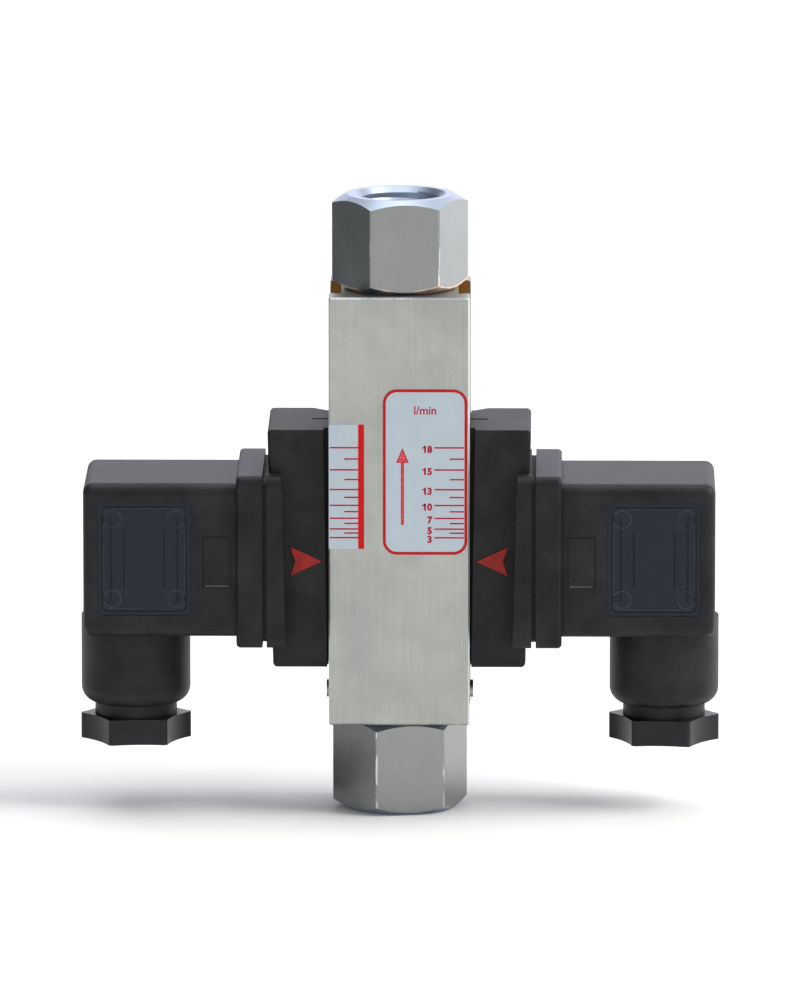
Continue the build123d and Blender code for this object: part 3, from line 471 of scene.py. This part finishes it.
def magnetFerrite():
    # sintered ferrite: charcoal grey, ground smooth, with open pores as dark specks
    setup = {
        "light": "#3a3a3c", "dark": "#1c1c1e", "pore": 0.3, "metallic": 0.3, "roughness": 0.5,
        "edge": {"From Max": 0.35}, "bump": {"Strength": 0.3, "Distance": 0.05 * mm},
    }
    material, tree, place = newMaterial("sinteredFerrite")
    pores = addNode(tree, "ShaderNodeTexVoronoi", {"Scale": perMetre(setup["pore"])}, {"Vector": place})
    factor = addNode(tree, "ShaderNodeMapRange", setup["edge"], {"Value": pores.outputs[0]})
    colour = addNode(tree, "ShaderNodeMix",
                     {"data_type": "RGBA", 6: linear(setup["dark"]), 7: linear(setup["light"])},
                     {0: factor.outputs[0]})
    bump = addNode(tree, "ShaderNodeBump", setup["bump"], {"Height": factor.outputs[0]})
    shader = addNode(tree, "ShaderNodeBsdfPrincipled",
                     {"Metallic": setup["metallic"], "Roughness": setup["roughness"]},
                     {"Base Color": colour.outputs[2], "Normal": bump.outputs[0]})
    addNode(tree, "ShaderNodeOutputMaterial", None, {"Surface": shader.outputs[0]})
    return material


def castingResin():
    # epoxy casting resin, poured: deep black, glossy, with a gently uneven surface
    setup = {
        "light": "#1b1a1c", "dark": "#0e0e10", "swell": 2.0, "ior": 1.55, "roughness": 0.15,
        "bump": {"Strength": 0.5, "Distance": 0.1 * mm},
    }
    material, tree, place = newMaterial("epoxyResin")
    swell = addNode(tree, "ShaderNodeTexNoise", {"Scale": perMetre(setup["swell"]), "Detail": 1.0},
                    {"Vector": place})
    colour = addNode(tree, "ShaderNodeMix",
                     {"data_type": "RGBA", 6: linear(setup["dark"]), 7: linear(setup["light"])},
                     {0: swell.outputs[0]})
    bump = addNode(tree, "ShaderNodeBump", setup["bump"], {"Height": swell.outputs[0]})
    shader = addNode(tree, "ShaderNodeBsdfPrincipled", {"IOR": setup["ior"], "Roughness": setup["roughness"]},
                     {"Base Color": colour.outputs[2], "Normal": bump.outputs[0]})
    addNode(tree, "ShaderNodeOutputMaterial", None, {"Surface": shader.outputs[0]})
    return material


def reedGlass():
    # lead glass tube, drawn: clear with a green cast and a gloss that varies faintly
    setup = {
        "light": "#e2eee0", "dark": "#cfe0cc", "haze": 0.8, "ior": 1.56,
        "roughness": {"To Min": 0.02, "To Max": 0.06},
    }
    material, tree, place = newMaterial("leadGlass")
    haze = addNode(tree, "ShaderNodeTexNoise", {"Scale": perMetre(setup["haze"])}, {"Vector": place})
    colour = addNode(tree, "ShaderNodeMix",
                     {"data_type": "RGBA", 6: linear(setup["dark"]), 7: linear(setup["light"])},
                     {0: haze.outputs[0]})
    rough = addNode(tree, "ShaderNodeMapRange", setup["roughness"], {"Value": haze.outputs[0]})
    shader = addNode(tree, "ShaderNodeBsdfPrincipled", {"IOR": setup["ior"], "Transmission Weight": 1.0},
                     {"Base Color": colour.outputs[2], "Roughness": rough.outputs[0]})
    addNode(tree, "ShaderNodeOutputMaterial", None, {"Surface": shader.outputs[0]})
    return material


def pointerRed():
    # acetal, injection moulded in red: glossy, with rubbed darker specks and faint clouds
    setup = {
        "red": "#a5211a", "deep": "#8a1e19", "speck": 0.5, "cloud": 2.2, "speckShare": 0.7,
        "shades": {"From Min": 0.70, "From Max": 1.0}, "roughness": {"To Min": 0.28, "To Max": 0.5},
        "bump": {"Strength": 0.25, "Distance": 0.04 * mm}, "ior": 1.48, "specular": 0.25,
    }
    material, tree, place = newMaterial("redAcetal")
    speck = addNode(tree, "ShaderNodeTexNoise", {"Scale": perMetre(setup["speck"]), "Detail": 4.0},
                    {"Vector": place})
    cloud = addNode(tree, "ShaderNodeTexNoise", {"Scale": perMetre(setup["cloud"]), "Detail": 2.0},
                    {"Vector": place})
    both = addNode(tree, "ShaderNodeMath", {"operation": "MULTIPLY_ADD", 1: setup["speckShare"]},
                   {0: speck.outputs[0], 2: cloud.outputs[0]})
    factor = addNode(tree, "ShaderNodeMapRange", setup["shades"], {"Value": both.outputs[0]})
    colour = addNode(tree, "ShaderNodeMix",
                     {"data_type": "RGBA", 6: linear(setup["deep"]), 7: linear(setup["red"])},
                     {0: factor.outputs[0]})
    rough = addNode(tree, "ShaderNodeMapRange", setup["roughness"], {"Value": speck.outputs[0]})
    bump = addNode(tree, "ShaderNodeBump", setup["bump"], {"Height": speck.outputs[0]})
    shader = addNode(tree, "ShaderNodeBsdfPrincipled",
                     {"IOR": setup["ior"], "Specular IOR Level": setup["specular"]},
                     {"Base Color": colour.outputs[2], "Roughness": rough.outputs[0],
                      "Normal": bump.outputs[0]})
    addNode(tree, "ShaderNodeOutputMaterial", None, {"Surface": shader.outputs[0]})
    return material


def silverFilm(name):
    # silver polyester film, rolled: pale blue-grey, half metallic, with a hint of cloud and fine roll lines
    setup = {
        "light": "#bac6cf", "dark": "#adbac5", "cloud": 4, "line": 0.2, "lineStretch": 0.05,
        "lineShare": 0.25, "roughness": {"To Min": 0.30, "To Max": 0.42},
        "bump": {"Strength": 0.08, "Distance": 0.02 * mm}, "metallic": 0.35,
    }
    material, tree, place = newMaterial(name)
    stretched = addNode(tree, "ShaderNodeMapping", {"Scale": (setup["lineStretch"], 1, 1)},
                        {"Vector": place})
    line = addNode(tree, "ShaderNodeTexNoise", {"Scale": perMetre(setup["line"])},
                   {"Vector": stretched.outputs[0]})
    cloud = addNode(tree, "ShaderNodeTexNoise", {"Scale": perMetre(setup["cloud"]), "Detail": 3.0},
                    {"Vector": place})
    factor = addNode(tree, "ShaderNodeMath", {"operation": "MULTIPLY_ADD", 1: setup["lineShare"]},
                     {0: line.outputs[0], 2: cloud.outputs[0]})
    colour = addNode(tree, "ShaderNodeMix",
                     {"data_type": "RGBA", 6: linear(setup["dark"]), 7: linear(setup["light"])},
                     {0: factor.outputs[0]})
    rough = addNode(tree, "ShaderNodeMapRange", setup["roughness"], {"Value": factor.outputs[0]})
    bump = addNode(tree, "ShaderNodeBump", setup["bump"], {"Height": line.outputs[0]})
    shader = addNode(tree, "ShaderNodeBsdfPrincipled", {"Metallic": setup["metallic"]},
                     {"Base Color": colour.outputs[2], "Roughness": rough.outputs[0],
                      "Normal": bump.outputs[0]})
    addNode(tree, "ShaderNodeOutputMaterial", None, {"Surface": shader.outputs[0]})
    return material


def screenInk(ink):
    # screen-printed ink: even, satin, with thin spots where the mesh left less of it
    setup = {
        "spot": 0.5, "spots": {"From Min": 0.52, "From Max": 0.75},
        "roughness": {"To Min": 0.4, "To Max": 0.55}, "ior": 1.5, "specular": 0.18,
    }
    material, tree, place = newMaterial(ink["name"])
    spots = addNode(tree, "ShaderNodeTexNoise", {"Scale": perMetre(setup["spot"]), "Detail": 3.0},
                    {"Vector": place})
    factor = addNode(tree, "ShaderNodeMapRange", setup["spots"], {"Value": spots.outputs[0]})
    colour = addNode(tree, "ShaderNodeMix",
                     {"data_type": "RGBA", 6: linear(ink["full"]), 7: linear(ink["thin"])},
                     {0: factor.outputs[0]})
    rough = addNode(tree, "ShaderNodeMapRange", setup["roughness"], {"Value": spots.outputs[0]})
    shader = addNode(tree, "ShaderNodeBsdfPrincipled",
                     {"IOR": setup["ior"], "Specular IOR Level": setup["specular"]},
                     {"Base Color": colour.outputs[2], "Roughness": rough.outputs[0]})
    addNode(tree, "ShaderNodeOutputMaterial", None, {"Surface": shader.outputs[0]})
    return material


panelArea = {
    "x": 47.0, "y": 14.05, "z": 48.9, "width": 17.4, "height": 21.4, "depth": 0.3, "colour": "#1a1e2c",
}
turnedFinishes = {
    "plain_brass": {"name": "turnedBrass", "light": "#c9a45c", "dark": "#a98343", "mark": 0.15,
                    "roughness": {"To Min": 0.25, "To Max": 0.4}},
    "tinned_brass": {"name": "tinPlate", "light": "#c6c4bd", "dark": "#a9a7a0", "mark": 0.2,
                     "roughness": {"To Min": 0.3, "To Max": 0.45}},
    "tinned_wire": {"name": "tinnedCopperWire", "light": "#c4c2bb", "dark": "#aaa8a2", "mark": 0.2,
                    "roughness": {"To Min": 0.25, "To Max": 0.4}},
    "float_steel": {"name": "turnedStainlessSteel", "light": "#bdbcb8", "dark": "#a09f9b", "mark": 0.12,
                    "roughness": {"To Min": 0.2, "To Max": 0.35}},
    "pin_steel": {"name": "turnedPinSteel", "light": "#b9b8b4", "dark": "#98978f", "mark": 0.12,
                  "roughness": {"To Min": 0.25, "To Max": 0.4}},
    "zinc_screw": {"name": "zincPlate", "light": "#b9bdc2", "dark": "#969ba0", "mark": 0.2,
                   "roughness": {"To Min": 0.3, "To Max": 0.45}},
    "black_screw": {"name": "blackenedSteel", "light": "#2c2c2e", "dark": "#1b1b1c", "mark": 0.2,
                    "roughness": {"To Min": 0.35, "To Max": 0.5}},
}
polyamideFinishes = {
    "housing_polyamide": {"name": "grainedPolyamideHousing", "light": "#222122", "dark": "#0f0e0f",
                          "roughness": {"To Min": 0.46, "To Max": 0.60}},
    "plug_polyamide": {"name": "grainedPolyamidePlug", "light": "#222024", "dark": "#0e0d11",
                       "roughness": {"To Min": 0.42, "To Max": 0.56}, "panel": panelArea},
    "gland_polyamide": {"name": "smoothPolyamideGland", "light": "#232228", "dark": "#131217",
                        "roughness": {"To Min": 0.30, "To Max": 0.42}},
    "base_polyamide": {"name": "greyPolyamideBase", "light": "#3a3a3c", "dark": "#2a2a2c",
                       "roughness": {"To Min": 0.4, "To Max": 0.55}},
}
slotMaterials = {
    "nickel_bar": nickelBar(),
    "nickel_hexagon": nickelHexagon(),
    **{slot: turnedMetal(finish) for slot, finish in turnedFinishes.items()},
    "magnet_ferrite": magnetFerrite(),
    "seal_rubber": sealRubber(),
    **{slot: mouldedPolyamide(finish) for slot, finish in polyamideFinishes.items()},
    "casting_resin": castingResin(),
    "reed_glass": reedGlass(),
    "pointer_red": pointerRed(),
    "label_film": silverFilm("silverFilmLabel"),
    "strip_film": silverFilm("silverFilmStrip"),
}
for row in frame["record"]["subparts"]:
    mesh = frame["nodes"][row["node"]].data
    mesh.materials.clear()
    mesh.materials.append(slotMaterials[row["material_slot"]])
borderInk = screenInk({"name": "redScreenInk", "full": "#b90a18", "thin": "#c02a24"})
stripInk = screenInk({"name": "brightRedScreenInk", "full": "#c9050f", "thin": "#cd1a17"})
scaleInk = screenInk({"name": "crimsonScreenInk", "full": "#a80a33", "thin": "#bb3f60"})
paleInk = screenInk({"name": "paleRedScreenInk", "full": "#d9424f", "thin": "#e58a90"})
print("materials are on", len(frame["nodes"]), "solids")


def addPiece(name, points, faces, material, body, slot):
    # one visible piece, out of points in metres and the corners of its sides
    corners = faces.tolist() if isinstance(faces, np.ndarray) else faces
    mesh = bpy.data.meshes.new(name)
    mesh.from_pydata(points.tolist(), [], corners)
    mesh.update()
    piece = bpy.data.objects.new(name, mesh)
    bpy.context.scene.collection.objects.link(piece)
    mesh.materials.append(material)
    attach(piece, body)
    return piece


def readPoints(mesh):
    # the place of each point of a mesh, as one row of three
    place = np.zeros(len(mesh.vertices) * 3)
    mesh.vertices.foreach_get("co", place)
    return place.reshape(-1, 3)


def gather(parts):
    # one set of points and one list of faces out of several, each part's faces counted on from the last
    faces = []
    total = 0
    for points, corners in parts:
        faces += [(np.asarray(face) + total).tolist() for face in corners]
        total += len(points)
    return np.concatenate([points for points, corners in parts]), faces


def roundedPath(centreX, centreZ, width, height, radius, steps=12):
    # rounded rectangle: four quarter circles, each about its own corner's centre, run anticlockwise
    angles = np.linspace(0, math.pi / 2, steps)[None, :] + np.arange(4)[:, None] * math.pi / 2
    signX = np.array([1, -1, -1, 1])[:, None]
    signZ = np.array([1, 1, -1, -1])[:, None]
    x = centreX + signX * (width / 2 - radius) + radius * np.cos(angles)
    z = centreZ + signZ * (height / 2 - radius) + radius * np.sin(angles)
    return np.stack([x.ravel(), z.ravel()], axis=1)


def inkLine(path, width, base, top):
    # a flat bar carried round a closed path: each point moves along its mitre, the sum of the normals of the
    # two sides over one plus their product, by half the width to either side, at the base and at the top
    ahead = np.roll(path, -1, axis=0) - path
    ahead /= np.linalg.norm(ahead, axis=1, keepdims=True)
    normal = np.stack([ahead[:, 1], -ahead[:, 0]], axis=1)
    before = np.roll(normal, 1, axis=0)
    mitre = (normal + before) / (1 + np.sum(normal * before, axis=1, keepdims=True))
    corners = []
    for side, depth in ((1, base), (1, top), (-1, top), (-1, base)):
        flat = path + side * width / 2 * mitre
        corners.append(np.stack([flat[:, 0], np.full(len(flat), depth), flat[:, 1]], axis=1))
    points = np.stack(corners, axis=1).reshape(-1, 3)
    here = np.arange(len(path))[:, None] * 4 + np.arange(4)[None, :]
    ring = np.roll(here, -1, axis=1)
    faces = np.stack([here, ring, np.roll(ring, -1, axis=0), np.roll(here, -1, axis=0)], axis=2)
    return points * mm, faces.reshape(-1, 4)


def inkBars(left, right, low, high, base, top):
    # one flat box for each entry of the four arrays, as eight corners and six sides
    left, right, low, high = np.broadcast_arrays(left, right, low, high)
    x = np.stack([left, right, right, left] * 2, axis=1)
    z = np.stack([low, low, high, high] * 2, axis=1)
    y = np.broadcast_to([base] * 4 + [top] * 4, x.shape)
    points = np.stack([x, y, z], axis=2).reshape(-1, 3)
    box = np.array([[0, 3, 2, 1], [4, 5, 6, 7], [0, 1, 5, 4], [1, 2, 6, 5], [2, 3, 7, 6], [3, 0, 4, 7]])
    faces = (np.arange(len(left))[:, None, None] * 8 + box[None]).reshape(-1, 4)
    return points * mm, faces[:, ::-1]


def inkPlate(outline, base, top):
    # a flat plate: the outline at the base and at the top, joined by one side for each of its edges
    count = len(outline)
    depths = np.repeat([base, top], count)
    flat = np.tile(outline, (2, 1))
    points = np.stack([flat[:, 0], depths, flat[:, 1]], axis=1)
    here = np.arange(count)
    there = (here + 1) % count
    sides = np.stack([here, there, there + count, here + count], axis=1).tolist()
    return points * mm, [here[::-1].tolist(), (here + count).tolist()] + sides


# Print on the two films of the scale
labelLow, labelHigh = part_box("scale_label")
stripLow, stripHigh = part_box("strip_label")
printSetup = {
    "thickness": 0.02, "borderWidth": 0.54, "corner": 2.6,
    "longTicks": (69.58, 65.44, 61.75, 58.80, 56.38, 54.38, 52.75),
    "shortTicks": (67.47, 63.63, 60.30, 57.62, 55.42, 53.61),
    "tickWidth": 0.28, "tickEnd": 11.95, "longStart": 6.48, "shortStart": 9.30,
    "stripLongReach": 5.45, "stripShortReach": 2.54, "stripMargin": 0.22, "redBarWidth": 1.10,
    "numbers": ("18", "15", "13", "10", "7", "5", "3"), "numberHeight": 1.20, "numberRight": 6.06,
    "numberDrop": 0.28, "bold": 0.09, "unitBold": 0.04, "figureShare": 0.70, "curveSteps": 6,
    "flagReach": 0.36, "flagShoulder": 0.16, "flagTip": 0.26, "flagFoot": 0.46,
    "unit": "l/min", "unitHeight": 1.5, "unitDrop": 3.9,
    "arrowX": 0.61, "arrowTip": 69.3, "headBase": 66.85, "headWidth": 2.06, "shaftWidth": 0.36,
    "shaftEnd": 55.27, "arrowLine": 0.18,
}
labelBase = labelLow.y / mm
labelTop = labelBase - printSetup["thickness"]
labelCentreX = (labelLow.x + labelHigh.x) / 2 / mm


def tickBars(longStart, shortStart, end, base, top):
    # one flat bar for each tick, centred on its height: the long and the short ones each have a start of
    # their own, and all share one end
    longZ = np.array(printSetup["longTicks"])
    shortZ = np.array(printSetup["shortTicks"])
    z = np.concatenate([longZ, shortZ])
    start = np.repeat([longStart, shortStart], [len(longZ), len(shortZ)])
    half = printSetup["tickWidth"] / 2
    return inkBars(start, end, z - half, z + half, base, top)


def inkText(name, entries, height, bold):
    # letters from the built-in face, whose figures are figureShare of its size high, made a mesh and laid on
    # the front: their X stays and their Y becomes Z
    thickness = printSetup["thickness"]
    parts = []
    for text, x, z, align in entries:
        curve = bpy.data.curves.new(name, "FONT")
        curve.body = text
        curve.size = height / printSetup["figureShare"] * mm
        curve.offset = bold * mm
        curve.extrude = thickness / 2 * mm
        curve.align_x = align
        curve.resolution_u = printSetup["curveSteps"]
        holder = bpy.data.objects.new(name + "Text", curve)
        bpy.context.scene.collection.objects.link(holder)
        bpy.context.view_layer.update()
        mesh = bpy.data.meshes.new_from_object(holder.evaluated_get(bpy.context.evaluated_depsgraph_get()))
        place = readPoints(mesh)
        place = np.stack([place[:, 0] + x * mm, (labelBase - thickness / 2) * mm - place[:, 2],
                          place[:, 1] + (z - height / 2) * mm], axis=1)
        parts.append((place, [list(polygon.vertices) for polygon in mesh.polygons]))
        bpy.data.objects.remove(holder)
        bpy.data.meshes.remove(mesh)
    return addPiece(name, *gather(parts), scaleInk, "meter", "label_film")


def printScale():
    # the label's border, half its width inside the film's edge, and its ticks
    sizes = printSetup
    centreZ = (labelLow.z + labelHigh.z) / 2 / mm
    width = (labelHigh.x - labelLow.x) / mm - sizes["borderWidth"]
    height = (labelHigh.z - labelLow.z) / mm - sizes["borderWidth"]
    border = roundedPath(labelCentreX, centreZ, width, height, sizes["corner"] - sizes["borderWidth"] / 2)
    addPiece("labelBorder", *inkLine(border, sizes["borderWidth"], labelBase, labelTop), borderInk, "meter",
             "label_film")
    ticks = tickBars(sizes["longStart"], sizes["shortStart"], sizes["tickEnd"], labelBase, labelTop)
    addPiece("labelTicks", *ticks, scaleInk, "meter", "label_film")


def printNumbers():
    sizes = printSetup
    entries = [(text, sizes["numberRight"], tick - sizes["numberDrop"], "RIGHT")
               for text, tick in zip(sizes["numbers"], sizes["longTicks"])]
    numbers = inkText("labelNumbers", entries, sizes["numberHeight"], sizes["bold"])
    # a slanted flag on the left of each figure one, whose stem is plain in the built-in face
    stem = readPoints(numbers.data)[:, 0].min() / mm
    left = stem - sizes["flagReach"]
    right = stem + sizes["flagShoulder"]
    flags = []
    for text, tick in zip(sizes["numbers"], sizes["longTicks"]):
        if text.startswith("1"):
            head = tick - sizes["numberDrop"] + sizes["numberHeight"] / 2
            foot = head - sizes["flagFoot"]
            outline = np.array([
                (right, head), (stem - sizes["flagShoulder"] / 2, head - sizes["flagShoulder"]),
                (left, head - sizes["flagTip"]), (left, foot), (right, foot),
            ])
            flags.append(inkPlate(outline, labelBase, labelTop))
    addPiece("labelFlags", *gather(flags), scaleInk, "meter", "label_film")
    unit = [(sizes["unit"], labelCentreX, labelHigh.z / mm - sizes["unitDrop"], "CENTER")]
    inkText("labelUnit", unit, sizes["unitHeight"], sizes["unitBold"])


def printArrow():
    # arrow along the flow: a pale fill and a crimson outline, from the tip anticlockwise
    sizes = printSetup
    x, head, shaft = sizes["arrowX"], sizes["headWidth"] / 2, sizes["shaftWidth"] / 2
    shoulder, end = sizes["headBase"], sizes["shaftEnd"]
    outline = np.array([
        (x, sizes["arrowTip"]), (x - head, shoulder), (x - shaft, shoulder), (x - shaft, end),
        (x + shaft, end), (x + shaft, shoulder), (x + head, shoulder),
    ])
    fillTop = labelBase - sizes["thickness"] / 2
    addPiece("arrowFill", *inkPlate(outline, labelBase, fillTop), paleInk, "meter", "label_film")
    addPiece("arrowOutline", *inkLine(outline, sizes["arrowLine"], labelBase, labelTop), scaleInk, "meter",
             "label_film")


def printStrip():
    # the strip's red bar along its right edge, and ticks that run from its left to the bar
    sizes = printSetup
    base = stripLow.y / mm
    top = base - sizes["thickness"]
    right = stripHigh.x / mm
    inner = right - sizes["redBarWidth"]
    redBar = inkBars(np.array([inner]), right, stripLow.z / mm, stripHigh.z / mm, base, top)
    addPiece("stripRedBar", *redBar, stripInk, "meter", "strip_film")
    longStart = inner - sizes["stripLongReach"] + sizes["stripMargin"]
    ticks = tickBars(longStart, inner - sizes["stripShortReach"], inner, base, top)
    addPiece("stripTicks", *ticks, scaleInk, "meter", "strip_film")


printScale()
printNumbers()
printArrow()
printStrip()
print("print is on the two films")


# Pipe thread in each port
threadSetup = {
    "pitch": 1.337, "wall": 7.475, "depth": 0.32, "sink": 0.03, "inset": 1.3, "length": 9.6,
    "rootHalf": 0.56, "crestHalf": 0.14, "stepsPerTurn": 72, "runOut": 0.35,
}


def portThread(name, lowZ):
    # a ridge on a helix: the angle grows evenly with height, one pitch a turn, and the ridge's four corners
    # lie at the wall and at the crest, whose height fades to nothing over the run-out at both ends
    sizes = threadSetup
    turns = sizes["length"] / sizes["pitch"]
    steps = int(turns * sizes["stepsPerTurn"])
    turn = np.linspace(0, turns, steps)
    angle = 2 * math.pi * turn
    fade = np.clip(np.minimum(turn, turns - turn) / sizes["runOut"], 0, 1)
    root, crest = sizes["rootHalf"], sizes["crestHalf"]
    corners = []
    for across, share in ((-root, 0), (-crest, 1), (crest, 1), (root, 0)):
        radius = sizes["wall"] + sizes["sink"] - share * fade * (sizes["depth"] + sizes["sink"])
        z = lowZ + turn * sizes["pitch"] + across
        corners.append(np.stack([radius * np.cos(angle), radius * np.sin(angle), z], axis=1))
    points = np.stack(corners, axis=1).reshape(-1, 3) * mm
    here = np.arange(steps - 1)[:, None] * 4 + np.arange(4)[None, :]
    ring = np.roll(here, -1, axis=1)
    faces = np.stack([here, here + 4, ring + 4, ring], axis=2).reshape(-1, 4).tolist()
    last = (steps - 1) * 4
    faces += [[0, 1, 2, 3], [last + 3, last + 2, last + 1, last]]
    addPiece(name, points, faces, slotMaterials["nickel_hexagon"], "meter", "nickel_hexagon")


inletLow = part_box("inlet_fitting")[0]
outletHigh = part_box("outlet_fitting")[1]
portThread("inletThread", inletLow.z / mm + threadSetup["inset"])
portThread("outletThread", outletHigh.z / mm - threadSetup["inset"] - threadSetup["length"])
print("threads are in the ports")


# Round mould marks in the corners of each plug's panel, the lip of its frame and a bar on its window's
# lower edge, drawn paler than the plug as a painted highlight
markSetup = {
    "radius": 1.6, "line": 0.16, "rise": 0.05, "spreadX": 5.9, "spreadZ": 7.5, "steps": 40, "floor": 14.15,
    "lipInset": 1.25, "lipCorner": 0.9, "lipLine": 0.12,
    "edgeInner": 31.4, "edgeOuter": 35.7, "edgeLow": 43.72, "edgeHigh": 43.88,
}
# the marks and the lip are drawn a little paler than the plug: a painted highlight on their raised lines
highlightLinePolyamide = mouldedPolyamide({"name": "highlightLinePolyamide", "light": "#40444e", "dark": "#2b2f38",
                                    "roughness": {"To Min": 0.35, "To Max": 0.5}})
# the window's lower edge is drawn pale: a painted highlight
windowHighlightPolyamide = mouldedPolyamide({"name": "windowHighlightPolyamide", "light": "#8d8c93", "dark": "#65656c",
                                     "roughness": {"To Min": 0.35, "To Max": 0.5}})


def mouldMarks(side, sign):
    # on both broad faces: a closed ring of a flat bar in each corner of the panel, a lip that follows the
    # panel's outline, and a bar along the window's lower edge
    sizes = markSetup
    angles = np.linspace(0, 2 * math.pi, sizes["steps"], endpoint=False)
    circle = sizes["radius"] * np.stack([np.cos(angles), np.sin(angles)], axis=1)
    centre = np.array([sign * panelArea["x"], panelArea["z"]])
    lip = roundedPath(centre[0], centre[1], panelArea["width"] - 2 * sizes["lipInset"],
                      panelArea["height"] - 2 * sizes["lipInset"], sizes["lipCorner"])
    paths = [circle + centre + (cornerX * sizes["spreadX"], cornerZ * sizes["spreadZ"])
             for cornerX in (-1, 1) for cornerZ in (-1, 1)]
    left, right = sorted((sign * sizes["edgeInner"], sign * sizes["edgeOuter"]))
    rings, edges = [], []
    for face in (-1, 1):
        base, top = face * sizes["floor"], face * (sizes["floor"] + sizes["rise"])
        marks = [inkLine(path, sizes["line"], base, top) for path in paths]
        marks.append(inkLine(lip, sizes["lipLine"], base, top))
        # the corners of each side are run the other way on the back face, so that all sides look outwards
        rings += [(points, faces[:, ::-face]) for points, faces in marks]
        points, faces = inkBars(np.array([left]), right, sizes["edgeLow"], sizes["edgeHigh"], base, top)
        edges.append((points, faces[:, ::-face]))
    addPiece(side + "MouldMarks", *gather(rings), highlightLinePolyamide, side + "_switch", "plug_polyamide")
    addPiece(side + "WindowEdge", *gather(edges), windowHighlightPolyamide, side + "_switch", "plug_polyamide")


mouldMarks("left", -1)
mouldMarks("right", 1)
print("mould marks are on the plugs")
